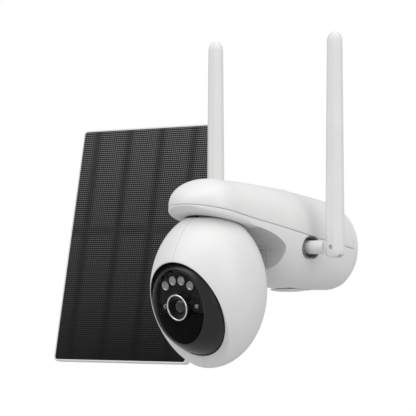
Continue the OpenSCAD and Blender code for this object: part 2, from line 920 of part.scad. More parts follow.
// The solar panel on its side arm.
ear_gap = 17;
ear_t = 4;
ear_r = 6;
nod_z = 1;
back_d = 8;
arm_t = 5;
arm_h = 24;
swing_r = 3;
nod_r = 2.5;
cell_margin = 1.5;
module at_swing() {
  translate([-panel_side, -swing_out, nod_z]) children();
}
module at_nod() {
  translate([-panel_side, -nod_out, nod_z]) rotate([-panel_lean, 0, 0]) children();
}
module at_panel(d) {
  at_nod() translate([0, -d, 0]) rotate([90, 0, 0]) children();
}
module panel_arm() {
  color("white")
    difference() {
      union() {
        translate([-panel_side - 9, -arm_t - 1, -arm_h / 2]) cube([panel_side + 9 - 26, arm_t, arm_h]);
        for (z = [-11.5, 7.7])
          translate([-panel_side, -swing_out, nod_z + z]) {
            cylinder(r = 7, h = 4.3);
            translate([-7, 0, 0]) cube([14, swing_out - 2, 4.3]);
          }
      }
      rotate([90, 0, 0]) translate([0, 0, -1]) cylinder(r = plate_r + 0.02, h = plate_t + 1);
      translate([0, 0, 0]) rotate([90, 0, 0]) translate([0, 0, plate_t + 0.02]) cylinder(r = 38, h = 20);
      translate([-panel_side, -swing_out, -40]) cylinder(r = swing_r, h = 80);
    }
}
module swing_pin() {
  color("silver")
    at_swing() {
      translate([0, 0, -12]) cylinder(r = swing_r, h = 24.5);
      translate([0, 0, 12.02]) cylinder(r = 5, h = 1.8);
    }
}
module swing_block() {
  color("dimgray")
    difference() {
      union() {
        at_swing() translate([0, 0, -6.9]) cylinder(r = 7, h = 14.3);
        translate([-panel_side - 5, -nod_out, nod_z - 5]) cube([10, nod_out - swing_out, 10]);
        translate([-panel_side, -nod_out, nod_z]) side_cyl(-ear_gap / 2 + play, ear_gap / 2 - play, 6);
      }
      at_swing() translate([0, 0, -40]) cylinder(r = swing_r + run, h = 80);
      translate([-panel_side, -nod_out, nod_z]) side_cyl(-20, 20, nod_r + run);
    }
}
module nod_pin() {
  color("silver")
    translate([-panel_side, -nod_out, nod_z]) {
      side_cyl(-ear_gap / 2 - ear_t - 0.02, ear_gap / 2 + ear_t + 7, nod_r);
      side_cyl(-ear_gap / 2 - ear_t - 1.82, -ear_gap / 2 - ear_t - 0.02, 4.2);
    }
}
module clamp_knob() {
  color("dimgray")
    translate([-panel_side + ear_gap / 2 + ear_t + 0.3, -nod_out, nod_z])
      difference() {
        union() {
          side_cyl(0, 7, 7);
          for (a = [0 : 45 : 315]) rotate([a, 0, 0]) translate([0, 0, 6.1]) side_cyl(0.6, 6.4, 1.5);
        }
        side_cyl(-1, 6.8, nod_r + run);
      }
}
module panel_back() {
  color("white")
    difference() {
      union() {
        at_panel(back_d) linear_extrude(5) rounded(78, 66, 8);
        at_panel(back_d + 5) linear_extrude(1.6) rounded(panel_w - 4, panel_h - 4, 5);
        for (x = [-ear_gap / 2 - ear_t, ear_gap / 2])
          at_nod() {
            translate([x, 0, 0]) side_cyl(0, ear_t, ear_r);
            translate([x, -back_d - 1, -ear_r]) cube([ear_t, back_d + 1, 2 * ear_r]);
          }
      }
      at_nod() side_cyl(-20, 20, nod_r);
      at_panel(back_d + 1.5) linear_extrude(10) rounded(60, 48, 5);
    }
}
module panel_box_lid() {
  color("dimgray")
    difference() {
      at_panel(back_d + 5.2) linear_extrude(1.3) rounded(59.4, 47.4, 4.7);
    }
}
panel_r = 4;
module panel_frame() {
  color("white")
    difference() {
      at_panel(back_d + 6.62) linear_extrude(panel_t) rounded(panel_w, panel_h, panel_r);
      at_panel(back_d + 6.62 + panel_t - 1.2)
        linear_extrude(4) rounded(panel_w - 2 * panel_lip, panel_h - 2 * panel_lip, panel_r - 1.4);
      at_panel(back_d + 6)
        linear_extrude(panel_t + 4) rounded(panel_w - 2 * panel_lip - 5, panel_h - 2 * panel_lip - 5, 2);
    }
}
module solar_cells() {
  color("black")
    at_panel(back_d + 6.62 + panel_t - 1.18)
      linear_extrude(0.9)
        rounded(panel_w - 2 * panel_lip - 0.1, panel_h - 2 * panel_lip - 0.1, panel_r - 1.5);
}
module panel_screws() {
  color("silver")
    for (x = [-panel_w / 2 + 9, panel_w / 2 - 9], y = [-panel_h / 2 + 9, panel_h / 2 - 9])
      at_panel(back_d + 4.2) translate([x, y, 0]) cylinder(r = 2.4, h = 0.8);
}

wall_plate();
lower_housing();
top_cover();
front_wall();
cover_gasket();
cover_plugs();
cover_inserts();
cover_screws();
battery_cells();
battery_holder();
main_board();
modem_board();
sim_slot();
speaker();
port_board();
charging_socket();
reset_button();
port_cover();
port_cover_pin();
pan_motor();
antenna_socket_left();
antenna_socket_right();
antenna_swivel_left();
antenna_swivel_right();
antenna_blade_left();
antenna_blade_right();
antenna_pin_left();
antenna_pin_right();
head_shell_left();
head_shell_right();
pan_hub();
head_screws();
module_shell();
module_back();
tilt_axle();
tilt_motor();
lamp_window();
infrared_window();
lens_barrel();
lens_ring();
lens_glass();
image_board();
lamp_board();
lamp_lenses();
motion_sensor();
light_sensor();
panel_arm();
swing_pin();
swing_block();
nod_pin();
clamp_knob();
panel_back();
panel_frame();
solar_cells();
panel_box_lid();
panel_screws();
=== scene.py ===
"""Solar-powered security camera: the looks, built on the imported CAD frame."""
import json
import math

import bmesh
import bpy
from mathutils import Matrix, Vector

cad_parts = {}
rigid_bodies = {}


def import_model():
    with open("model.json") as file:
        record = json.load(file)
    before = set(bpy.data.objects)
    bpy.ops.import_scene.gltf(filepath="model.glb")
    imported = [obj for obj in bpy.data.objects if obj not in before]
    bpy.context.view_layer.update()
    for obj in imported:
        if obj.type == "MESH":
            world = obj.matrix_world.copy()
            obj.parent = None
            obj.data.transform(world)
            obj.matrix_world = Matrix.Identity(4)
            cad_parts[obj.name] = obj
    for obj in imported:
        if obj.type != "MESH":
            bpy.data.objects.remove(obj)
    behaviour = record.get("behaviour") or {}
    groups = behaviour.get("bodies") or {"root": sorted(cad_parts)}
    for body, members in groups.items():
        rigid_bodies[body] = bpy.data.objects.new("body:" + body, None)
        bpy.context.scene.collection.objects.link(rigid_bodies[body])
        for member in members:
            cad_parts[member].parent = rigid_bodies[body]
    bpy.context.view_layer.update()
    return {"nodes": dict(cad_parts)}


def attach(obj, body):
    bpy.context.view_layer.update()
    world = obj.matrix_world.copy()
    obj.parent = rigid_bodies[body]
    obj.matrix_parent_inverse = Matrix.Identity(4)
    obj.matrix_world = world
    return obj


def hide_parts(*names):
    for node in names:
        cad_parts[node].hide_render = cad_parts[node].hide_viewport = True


MM = 0.001

# All sizes are in millimetres and follow the CAD's; "s" is the distance out from the wall.
# Housing. The visual's front edge is rounded less than the CAD's, so that the lining meets it.
WALL_HALF_W, MID_HALF_W, NOSE_R = 35.0, 38.5, 31.0
PAN_OUT, FRONT_OUT, WIDEST = 141.0, 90.0, 70.0
SEAM_Z0, SEAM_RISE, SEAM_BEND, BEND_END = -2.0, 0.13, 0.0005, 84.0
SLOPE = SEAM_RISE + 2 * SEAM_BEND * BEND_END
SEAM_GAP = 0.15
RIDGE_Z0, RIDGE_RISE, RIDGE_BEND = 35.3, 0.19, 0.00053
SKIRT_H, BACK_S, BACK_ROUND, FRONT_ROUND = 5.5, 5.5, 2.5, 0.12
UP_POWER, DOWN_POWER = 2 / 2.3, 2 / 2.7
PLUG_STOPS = (12.0, 55.0)
# The recess behind the head: the arch over it and the speaker's holes
ARCH_OUT, ARCH_DOWN, WEB_T, SPEAKER_Z = 31.0, 11.5, 0.36, -7.6
HOLE_R, HOLE_PITCH_X, HOLE_PITCH_Z = 0.6, 2.8, 2.4
# Antenna sockets: radius of the slot's ends and half the distance between them
CUP_R, CUP_OFF = 8.9, 1.8
# Cover of the charging port, and its hinge
PORT_OUT, PORT_W, PORT_L = 46.4, 21.2, 24.4
HINGE_OUT, HINGE_Z, KNUCKLE_R, KNUCKLE_L = 33.0, -33.0, 1.5, 4.0

# Head
HEAD_R, HEAD_H, HEAD_Z, HEAD_TOP_Z = 45.0, 60.0, -34.0, 21.0
FACE_DROP, FACE_D, MOUTH_W, MOUTH_H, MOUTH_LOW = 25.7, 28.5, 70.0, 79.0, 2.96
MOUTH_ROUND, PARTING_GAP, HEAD_ROOM, HUB_R = 0.45, 0.05, 0.8, 13.0

# Camera module
TILT_Z, LOOK_DROP, EYE_D, EYE_W, EYE_H = -39.6, 12.5, 34.2, 46.8, 56.8
MODULE_R, MODULE_BULGE, WINDOW_T, SPLIT_DROP = 44.8, 41.6, 1.5, 5.0
MODULE_HALF_W, BACK_BALL_R = 34.4, 41.0
RING_D, RING_OUT, LAMP_ARC_R, LAMP_D = 21.0, 4.0, 20.4, 6.9
LAMP_ANGLES, SENSOR_X = (-38.0, -12.5, 12.5, 38.0), 16.0

# Antennas
ANTENNA_SIDE, ANTENNA_OUT, ANTENNA_Z, ANTENNA_LEN = 62.0, 63.5, -0.7, 167.5
ANTENNA_W0, ANTENNA_W1, ANTENNA_T0, ANTENNA_T1 = 16.5, 13.0, 11.0, 9.0
ANTENNA_TIP, TONGUE_R, TONGUE_T, PIN_HOLE_R = 8.5, 6.3, 4.9, 1.75

# Solar panel
PANEL_W, PANEL_H, PANEL_LIP, PANEL_T, PANEL_LEAN = 153.0, 201.0, 1.6, 5.5, 10.7
PANEL_SIDE, NOD_OUT, NOD_Z, PANEL_BACK_D = 165.0, 32.0, 1.0, 8.0
FRAME_D = PANEL_BACK_D + 6.62
EAR_GAP, EAR_T, EAR_R = 17.0, 4.0, 6.0

# The photograph's view and the floor, in metres where it isn't an angle or a focal length
VIEW_AZIMUTH, VIEW_RISE = math.radians(42.0), math.radians(1.85)
VIEW_DISTANCE, VIEW_SHIFT, EYE_HEIGHT = 2.0, 0.0005, -0.0356
LENS_MM, SENSOR_MM = 225.0, 36.0
FLOOR_Z, FLOOR_HALF = -0.32, 0.75


# ---------------------------------------------------------------- materials
def new_material(name):
    mat = bpy.data.materials.new(name)
    mat.use_nodes = True
    tree = mat.node_tree
    shader = tree.nodes["Principled BSDF"]
    return mat, tree, shader


def node(tree, kind, **settings):
    made = tree.nodes.new(kind)
    for key, value in settings.items():
        if key in made.inputs:
            made.inputs[key].default_value = value
        else:
            setattr(made, key, value)
    return made


def object_coords(tree, scale=(1.0, 1.0, 1.0)):
    coords = node(tree, "ShaderNodeTexCoord")
    mapping = node(tree, "ShaderNodeMapping", Scale=scale)
    tree.links.new(coords.outputs["Object"], mapping.inputs["Vector"])
    return mapping.outputs["Vector"]


def noise(tree, vector, scale, detail=4.0, rough=0.55):
    made = node(tree, "ShaderNodeTexNoise", Scale=scale, Detail=detail, Roughness=rough)
    tree.links.new(vector, made.inputs["Vector"])
    return made.outputs["Fac"]


def ramp(tree, source, first, last, start=0.3, end=0.7):
    """A blend from one colour to another over the middle of a noise."""
    made = node(tree, "ShaderNodeValToRGB")
    for element, place, colour in zip(made.color_ramp.elements, (start, end), (first, last)):
        element.position = place
        element.color = (*colour, 1.0)
    tree.links.new(source, made.inputs["Fac"])
    return made.outputs["Color"]


def grey(value):
    return (value,) * 3


def set_surface(tree, shader, tone, gloss):
    """Gives the shader its colour and its roughness."""
    tree.links.new(tone, shader.inputs["Base Color"])
    tree.links.new(gloss, shader.inputs["Roughness"])


def bump(tree, height, shader, strength, distance):
    made = node(tree, "ShaderNodeBump", Strength=strength, Distance=distance)
    tree.links.new(height, made.inputs["Height"])
    tree.links.new(made.outputs["Normal"], shader.inputs["Normal"])


def shade(colour, factor):
    return tuple(min(1.0, c * factor) for c in colour)


def plastic(name, colour, rough=0.42, grain=2200.0, depth=0.00002, spread=0.03, coat=0.0, specular=0.5):
    """Moulded plastic: a fine spark-eroded grain, soft blotches of tone and a little uneven gloss."""
    mat, tree, shader = new_material(name)
    vector = object_coords(tree)
    tone = ramp(tree, noise(tree, vector, 22.0, 3.0), shade(colour, 1 - spread), shade(colour, 1 + spread))
    gloss = ramp(tree, noise(tree, vector, 60.0, 5.0), grey(rough * 0.9), grey(rough * 1.1))
    set_surface(tree, shader, tone, gloss)
    bump(tree, noise(tree, vector, grain, 2.0), shader, 0.35, depth)
    shader.inputs["Coat Weight"].default_value = coat
    shader.inputs["Coat Roughness"].default_value = 0.12
    shader.inputs["Specular IOR Level"].default_value = specular
    return mat


def metal(name, colour, rough=0.25, stretch=(1.0, 1.0, 40.0)):
    """Turned or drawn metal with fine lines along one way."""
    mat, tree, shader = new_material(name)
    lines = noise(tree, object_coords(tree, stretch), 260.0, 6.0)
    tone = ramp(tree, lines, shade(colour, 0.82), shade(colour, 1.1), 0.25, 0.75)
    set_surface(tree, shader, tone, ramp(tree, lines, grey(rough * 0.7), grey(rough * 1.4), 0.2, 0.8))
    bump(tree, lines, shader, 0.15, 0.00001)
    shader.inputs["Metallic"].default_value = 1.0
    return mat


def rubber(name, colour):
    mat, tree, shader = new_material(name)
    vector = object_coords(tree)
    tone = ramp(tree, noise(tree, vector, 90.0, 6.0), shade(colour, 0.92), shade(colour, 1.08))
    set_surface(tree, shader, tone, ramp(tree, noise(tree, vector, 300.0, 3.0), grey(0.62), grey(0.8)))
    bump(tree, noise(tree, vector, 1500.0, 2.0), shader, 0.4, 0.00004)
    return mat


def board(name, colour):
    """Circuit board: lacquer with faint copper tracks under it."""
    mat, tree, shader = new_material(name)
    vector = object_coords(tree)
    tracks = node(tree, "ShaderNodeTexBrick", Scale=260.0)
    tracks.inputs["Mortar Size"].default_value = 0.04
    for socket, factor in (("Color1", 1.0), ("Color2", 0.8), ("Mortar", 2.0)):
        tracks.inputs[socket].default_value = (*shade(colour, factor), 1.0)
    tree.links.new(vector, tracks.inputs["Vector"])
    gloss = ramp(tree, noise(tree, vector, 120.0), grey(0.3), grey(0.42))
    set_surface(tree, shader, tracks.outputs["Color"], gloss)
    bump(tree, tracks.outputs["Fac"], shader, 0.3, 0.00003)
    return mat


def clear(name, colour, rough=0.02, transmission=1.0, ior=1.46):
    """Clear moulding or glass, with very slight unevenness in the surface."""
    mat, tree, shader = new_material(name)
    vector = object_coords(tree)
    tone = ramp(tree, noise(tree, vector, 40.0), shade(colour, 0.97), colour)
    set_surface(tree, shader, tone, ramp(tree, noise(tree, vector, 200.0), grey(rough), grey(rough * 2)))
    shader.inputs["Transmission Weight"].default_value = transmission
    shader.inputs["IOR"].default_value = ior
    return mat


# ---------------------------------------------------------------- mesh helpers
def linked(name, data, place=(0, 0, 0)):
    """An object in the scene for a mesh, a lamp or a camera."""
    made = bpy.data.objects.new(name, data)
    bpy.context.scene.collection.objects.link(made)
    made.location = place
    return made


def mesh_object(name, bm):
    """Turns a bmesh into an object in the scene, and frees the bmesh."""
    mesh = bpy.data.meshes.new(name)
    bm.to_mesh(mesh)
    bm.free()
    return linked(name, mesh)


def finish_piece(name, bm, material, body, replaces=(), smooth_angle=40.0):
    """Turns a bmesh in millimetres into a smooth-shaded piece that rides on a body."""
    bmesh.ops.scale(bm, vec=(MM,) * 3, verts=bm.verts)
    bmesh.ops.remove_doubles(bm, verts=bm.verts, dist=1e-7)
    bmesh.ops.recalc_face_normals(bm, faces=bm.faces)
    piece = mesh_object(name, bm)
    piece.data.shade_smooth()
    piece.data.set_sharp_from_angle(angle=math.radians(smooth_angle))
    piece.data.materials.append(material)
    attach(piece, body)
    if replaces:
        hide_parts(*replaces)
    return piece


def add_grid(bm, rows, close_rows=False, close_ends=False, start_cap=False, end_cap=False):
    """Quads between neighbouring rows of points; rows may close on themselves."""
    made = [[bm.verts.new(p) for p in row] for row in rows]
    pairs = list(zip(made, made[1:]))
    if close_ends:
        pairs.append((made[-1], made[0]))
    for a, b in pairs:
        count = len(a) if close_rows else len(a) - 1
        for i in range(count):
            j = (i + 1) % len(a)
            corners = []
            for v in (a[i], a[j], b[j], b[i]):
                if v not in corners:
                    corners.append(v)
            bm.faces.new(corners)
    if start_cap:
        bm.faces.new(list(reversed(made[0])))
    if end_cap:
        bm.faces.new(made[-1])
    return made


def revolve(profile, around=64):
    """Rows of (radius, height) points turned about local Z; radius 0 closes as a small cap."""
    bm = bmesh.new()
    rows = []
    for r, z in profile:
        r = max(r, 1e-4)
        rows.append([
            (r * math.cos(2 * math.pi * k / around), r * math.sin(2 * math.pi * k / around), z)
            for k in range(around)
        ])
    add_grid(bm, rows, close_rows=True)
    return bm


def round_corner(p0, p1, p2, r, steps=4):
    """Points of an arc that rounds the corner p1 between p0 and p2."""
    a = Vector(p0) - Vector(p1)
    b = Vector(p2) - Vector(p1)
    half = a.angle(b) / 2
    reach = min(r / math.tan(half), a.length * 0.49, b.length * 0.49)
    r = reach * math.tan(half)
    start = Vector(p1) + a.normalized() * reach
    end = Vector(p1) + b.normalized() * reach
    centre = Vector(p1) + (a.normalized() + b.normalized()).normalized() * (r / math.sin(half))
    points = []
    for k in range(steps + 1):
        mixed = (start - centre).lerp(end - centre, k / steps)
        points.append(tuple(centre + mixed.normalized() * r))
    return points


def arc(w, h, start, end, steps):
    """Points on an ellipse of half width w and half height h, between two angles in degrees."""
    turns = [math.radians(start + (end - start) * k / steps) for k in range(steps + 1)]
    return [(w * math.cos(a), h * math.sin(a)) for a in turns]


def rounded_rect(w, h, r, steps=8):
    points = []
    for cx, cy, start in ((1, 1, 0), (-1, 1, 90), (-1, -1, 180), (1, -1, 270)):
        for x, y in arc(r, r, start, start + 90, steps):
            points.append((cx * (w / 2 - r) + x, cy * (h / 2 - r) + y))
    return points


def half_round(r):
    """The right-hand half of a circle, from its lowest point up."""
    return arc(r, r, -90, 90, 24)


def inset_outline(points, d):
    """A closed outline moved inwards by d along its corner normals."""
    n = len(points)
    out = []
    for i in range(n):
        a, b, c = Vector(points[i - 1]), Vector(points[i]), Vector(points[(i + 1) % n])
        t = (b - a).normalized() + (c - b).normalized()
        t = t.normalized() if t.length > 1e-9 else (c - b).normalized()
        out.append((b.x - t.y * d, b.y + t.x * d))
    return out


def solid(rows):
    """A closed body from rings of points, with a face over each end."""
    bm = bmesh.new()
    add_grid(bm, rows, close_rows=True, start_cap=True, end_cap=True)
    return bm


def slab(outline, z0, z1, edge=0.4, steps=3, both=True):
    """A plate from a closed anticlockwise outline; the edges of its far face, or of both, are rounded."""
    turns = [math.radians(90 * k / steps) for k in range(steps + 1)] if edge else []
    rows = [(edge * (1 - math.sin(a)), z0 + edge * (1 - math.cos(a))) for a in turns if both] or [(0, z0)]
    rows += [(edge * (1 - math.cos(a)), z1 - edge * (1 - math.sin(a))) for a in turns] or [(0, z1)]
    grid = []
    for d, z in rows:
        ring = inset_outline(outline, d) if d else outline
        grid.append([(x, y, z) for x, y in ring])
    return solid(grid)


def turn_x(degrees):
    return Matrix.Rotation(math.radians(degrees), 4, "X")


def turn_y(degrees):
    return Matrix.Rotation(math.radians(degrees), 4, "Y")


def shift(x, y, z):
    return Matrix.Translation((x, y, z))


def facing(origin, drop, d=0.0):
    """Local x right, y up, z outwards along a direction that looks drop degrees below level."""
    return shift(*origin) @ turn_x(drop) @ shift(0, -d, 0) @ turn_x(90)


def placed(bm, matrix):
    bmesh.ops.transform(bm, matrix=matrix, verts=bm.verts)
    return bm


def merged(*parts):
    """Joins bmeshes into the first one."""
    first = parts[0]
    for other in parts[1:]:
        mesh = bpy.data.meshes.new("part")
        other.to_mesh(mesh)
        other.free()
        first.from_mesh(mesh)
        bpy.data.meshes.remove(mesh)
    return first


def carve(piece, *cutters):
    """Cuts closed shapes, given as bmeshes in millimetres, out of a closed piece."""
    for bm in cutters:
        bmesh.ops.scale(bm, vec=(MM,) * 3, verts=bm.verts)
        bmesh.ops.recalc_face_normals(bm, faces=bm.faces)
        tool = mesh_object(f"{piece.name}_cutter", bm)
        mesh = tool.data
        mod = piece.modifiers.new("cut", "BOOLEAN")
        mod.object = tool
        mod.operation = "DIFFERENCE"
        mod.solver = "EXACT"
        bpy.context.view_layer.update()
        graph = bpy.context.evaluated_depsgraph_get()
        result = bpy.data.meshes.new_from_object(piece.evaluated_get(graph))
        piece.modifiers.remove(mod)
        old = piece.data
        piece.data = result
        bpy.data.meshes.remove(old)
        bpy.data.objects.remove(tool)
        bpy.data.meshes.remove(mesh)
    piece.data.shade_smooth()
    piece.data.set_sharp_from_angle(angle=math.radians(35))
    return piece


def cap_ends(bm):
    """Puts a face over every open end, and hands the bmesh back."""
    bmesh.ops.holes_fill(bm, edges=[e for e in bm.edges if e.is_boundary])
    return bm


def block(x0, x1, y0, y1, z0, z1):
    bm = bmesh.new()
    bmesh.ops.create_cube(bm, size=1.0)
    bmesh.ops.scale(bm, vec=(x1 - x0, y1 - y0, z1 - z0), verts=bm.verts)
    bmesh.ops.translate(bm, vec=((x0 + x1) / 2, (y0 + y1) / 2, (z0 + z1) / 2), verts=bm.verts)
    return bm


# ---------------------------------------------------------------- housing
def seam(s):
    bent = min(s, BEND_END)
    return SEAM_Z0 + SEAM_RISE * bent + SEAM_BEND * bent * bent + SLOPE * max(0.0, s - BEND_END)


def nose(s):
    return 1.0 if s <= PAN_OUT else math.sqrt(max(0.0, 1 - ((s - PAN_OUT) / NOSE_R) ** 2))


def half_w(s):
    if s < WIDEST:
        return WALL_HALF_W + (MID_HALF_W - WALL_HALF_W) * math.sin(math.pi / 2 * s / WIDEST)
    if s < PAN_OUT:
        eased = 0.5 + 0.5 * math.cos(math.pi * (s - WIDEST) / (PAN_OUT - WIDEST))
        return NOSE_R + (MID_HALF_W - NOSE_R) * eased
    return NOSE_R * nose(s)


def ridge(s):
    return RIDGE_Z0 + RIDGE_RISE * s - RIDGE_BEND * s * s


def up_h(s):
    if s <= PAN_OUT:
        return ridge(s) - seam(s)
    return (ridge(PAN_OUT) - seam(PAN_OUT) - 0.18 * (s - PAN_OUT)) * nose(s)


def down_h(s):
    return seam(s) + 34 - 7 * (s / FRONT_OUT) ** 4 - 8 * (max(0.0, s - 62) / 28) ** 2


def corner(r, d):
    return 0.0 if d >= r else r - math.sqrt(r * r - (r - d) ** 2)


def half_section(w, h, power, count):
    """Superellipse from the right edge over to the left one, as (x, height) pairs."""
    points = []
    for k in range(count + 1):
        a = math.pi * k / count
        c = math.cos(a)
        points.append((math.copysign(abs(c) ** power * w, c), max(0.0, math.sin(a)) ** power * h))
    return points


def even(a, b, step):
    count = max(1, round((b - a) / step))
    return [a + (b - a) * k / count for k in range(count + 1)]


def nose_stops():
    return [PAN_OUT + NOSE_R * math.sin(math.radians(89.6 * k / 34)) for k in range(1, 35)]


def back_shrink(s):
    return corner(BACK_ROUND, s - BACK_S)


def thick_shell(stops, shrink, height, power, sign, wall):
    """A closed moulded shell: the outer section and one set in by the wall, joined along the seam rims."""
    rows = []
    for s in stops:
        d = shrink(s)
        w = max(0.6, half_w(s) - d)
        h = max(0.7, height(s) - d)
        outer = lipped_row(w, h, power)
        t = min(wall, w * 0.45, h * 0.45)
        inner = half_section(w - t, h - t, power, 32)
        inner = [(x, max(z, SEAM_GAP)) for x, z in reversed(inner)]
        rows.append([(x, -s, seam(s) + sign * z) for x, z in outer + inner])
    return solid(rows)


def lipped_row(w, h, power, count=64):
    """Rounded rim points, then a fixed number of points over the section, then the mirrored rim."""
    edge = min(0.8, h * 0.3, w * 0.3)
    rim = lip_arc(w, SEAM_GAP, edge, up=True, steps=4)
    start = math.asin(min(1.0, ((SEAM_GAP + edge) / h) ** (1 / power)))
    body = []
    for k in range(1, count):
        a = start + (math.pi - 2 * start) * k / count
        c = math.cos(a)
        body.append((math.copysign(abs(c) ** power * w, c), math.sin(a) ** power * h))
    return rim + body + [(-x, z) for x, z in reversed(rim)]


def socket_slot(side, x0=30, x1=46):
    """The slot at an antenna's socket: CUP_R high to each side and 2 * CUP_OFF longer along the housing."""
    outline = []
    for k in range(48):
        a = 2 * math.pi * k / 48
        outline.append((CUP_R * math.cos(a) + math.copysign(CUP_OFF, math.cos(a)), CUP_R * math.sin(a)))
    return solid([[(side * x, -ANTENNA_OUT + u, ANTENNA_Z + v) for u, v in outline] for x in (x0, x1)])


def head_room(around=96, high=64):
    """The egg that the head needs to turn in."""
    bm = revolve(arc(1, 1, -90, 90, high), around)
    wide, tall = HEAD_R + HEAD_ROOM, HEAD_H + HEAD_ROOM
    bmesh.ops.scale(bm, vec=(wide, wide, tall), verts=bm.verts)
    bmesh.ops.translate(bm, vec=(0, -PAN_OUT, HEAD_Z), verts=bm.verts)
    return cap_ends(bm)


def upright(x, y, z0, z1, r, around=48):
    return placed(cap_ends(revolve([(r, z0), (r, z1)], around)), shift(x, y, 0))


def make_top_cover(white):
    stops = [BACK_S + 0.35 * k for k in range(8)] + even(9, PAN_OUT, 3.0) + nose_stops()
    shell = thick_shell(stops, back_shrink, up_h, UP_POWER, 1, 2.0)
    cover = finish_piece("top_cover_skin", shell, white, "camera_base", ["top_cover"])
    cups = [upright(0, -s, ridge(s) - 1.5, ridge(s) + 6, 5.25) for s in PLUG_STOPS]
    return carve(cover, *cups)


def make_plugs(soft):
    """The two soft plugs in the ridge, each a low dome with a fine step around it."""
    for i, s in enumerate(PLUG_STOPS):
        profile = [(4.9, -1.6), (5.05, 0.0), (5.0, 0.35), (4.7, 0.62), (4.2, 0.7), (3.9, 0.66), (3.6, 0.9)]
        profile += [(r, 0.9 + z) for r, z in arc(3.6, 0.45, 10, 90, 8)]
        lean = math.degrees(math.atan(RIDGE_RISE - 2 * RIDGE_BEND * s))
        bm = placed(revolve(profile, 64), shift(0, -s, ridge(s) + 0.25) @ turn_x(-lean))
        finish_piece(f"ridge_plug_{i + 1}", bm, soft, "camera_base", ["cover_plugs"], 50)


def both_shrinks(s):
    return back_shrink(s) + corner(FRONT_ROUND, FRONT_OUT - s)


def make_lower_housing(white):
    stops = [BACK_S + 0.35 * k for k in range(8)] + even(9, 88.5, 2.65)
    stops += [FRONT_OUT - FRONT_ROUND * (1 - math.sin(math.radians(30 * k))) for k in range(4)]
    shell = thick_shell(stops, both_shrinks, down_h, DOWN_POWER, -1, 2.3)
    base = finish_piece("lower_housing_skin", shell, white, "camera_base", ["lower_housing"])
    port_bay = block(-11, 11, -59, -33, -45, -31.4)
    return carve(base, socket_slot(-1), socket_slot(1), port_bay)


def arch_point(a):
    """A point of the curve that carries the underside of the arm down into the front edge: (s, z)."""
    s = FRONT_OUT + ARCH_OUT * (1 - math.sin(math.radians(a)))
    return s, seam(s) - SKIRT_H - ARCH_DOWN * (1 - math.cos(math.radians(a)))


def side_x(s, z):
    drop = min(0.9999, max(0.0, seam(s) - z) / down_h(FRONT_OUT))
    return half_w(s) * (1 - drop ** (2 / DOWN_POWER)) ** (DOWN_POWER / 2)


def make_arch_webs(white):
    """The thin side walls that run forward under the skirt and end in the arch."""
    curve = [(88.0, arch_point(90)[1])] + [arch_point(a) for a in range(90, -1, -3)]
    for k in range(1, 7):
        s = FRONT_OUT + ARCH_OUT + 1.8 * k
        curve.append((s, seam(s) - SKIRT_H + 2.6 * (k / 6) ** 2))
    for side, name in ((-1, "arch_web_left"), (1, "arch_web_right")):
        rows = []
        for s, low in curve:
            heights = [low + (seam(s) - 1.0 - low) * t / 8 for t in range(9)]
            row = [(side_x(s, z) + 0.02, z) for z in heights]
            row += [(x - WEB_T, z) for x, z in reversed(row)]
            rows.append([(side * x, -s, z) for x, z in row])
        finish_piece(name, solid(rows), white, "camera_base", (), 50)


def make_lining(material):
    """The recess behind the head in one piece: the speaker wall and the curve up to the arm's underside."""
    low, bend = seam(FRONT_OUT) - down_h(FRONT_OUT) + 0.5, arch_point(90)[1]
    path = [(FRONT_OUT + 0.03, z, -1.0, 0.0) for z in even(low, bend, 1.1)]
    for a in range(88, 2, -3):
        s, z = arch_point(a)
        turn = math.radians(a)
        n = Vector((-ARCH_DOWN * math.sin(turn), ARCH_OUT * math.cos(turn))).normalized()
        path.append((s + 0.1 * n[0] + 0.03, z + 0.1 * n[1], n[0], n[1]))
    rows = []
    for s, z, ns, nz in path:
        edge = side_x(s, z) - 0.35
        front = [(edge * t / 12, s, z) for t in range(-12, 13)]
        back = [(0.985 * x, s + 1.5 * ns, z + 1.5 * nz) for x, s, z in reversed(front)]
        rows.append([(x, -s, z) for x, s, z in front + back])
    bm = solid(rows)
    lining = finish_piece("recess_lining", bm, material, "camera_base", ["front_wall"], 35)
    holes = []
    for i in range(-5, 6):
        for j in range(-3, 4):
            hole = upright(0, 0, 80, 100, HOLE_R, 16)
            holes.append(placed(hole, shift(i * HOLE_PITCH_X, 0, SPEAKER_Z + j * HOLE_PITCH_Z) @ turn_x(90)))
    return carve(lining, merged(*holes), head_room())


def make_flap(material):
    """The soft cover of the charging port: a low domed pad and its two hinge knuckles."""
    profile = [(0.5, 32.95), (0.05, 33.2), (0.0, 33.7), (0.25, 34.1), (0.8, 34.45)]
    profile += [(1.7, 34.72), (3.0, 34.98), (4.6, 35.22), (6.2, 35.4), (7.8, 35.5)]
    rows = []
    for inset, depth in profile:
        outline = rounded_rect(PORT_W - 2 * inset, PORT_L - 2 * inset, max(0.6, 4.5 - 0.5 * inset))
        rows.append([(x, y - PORT_OUT, -depth) for x, y in outline])
    bm = solid(rows)
    r, end = KNUCKLE_R, KNUCKLE_L
    for x in (-10, 6):
        knuckle = cap_ends(revolve([(r - 0.3, 0), (r, 0.3), (r, end - 0.3), (r - 0.3, end)], 32))
        bm = merged(bm, placed(knuckle, shift(x, -HINGE_OUT, HINGE_Z) @ turn_y(90)))
    return finish_piece("port_flap", bm, material, "port_cover", ["port_cover"], 50)


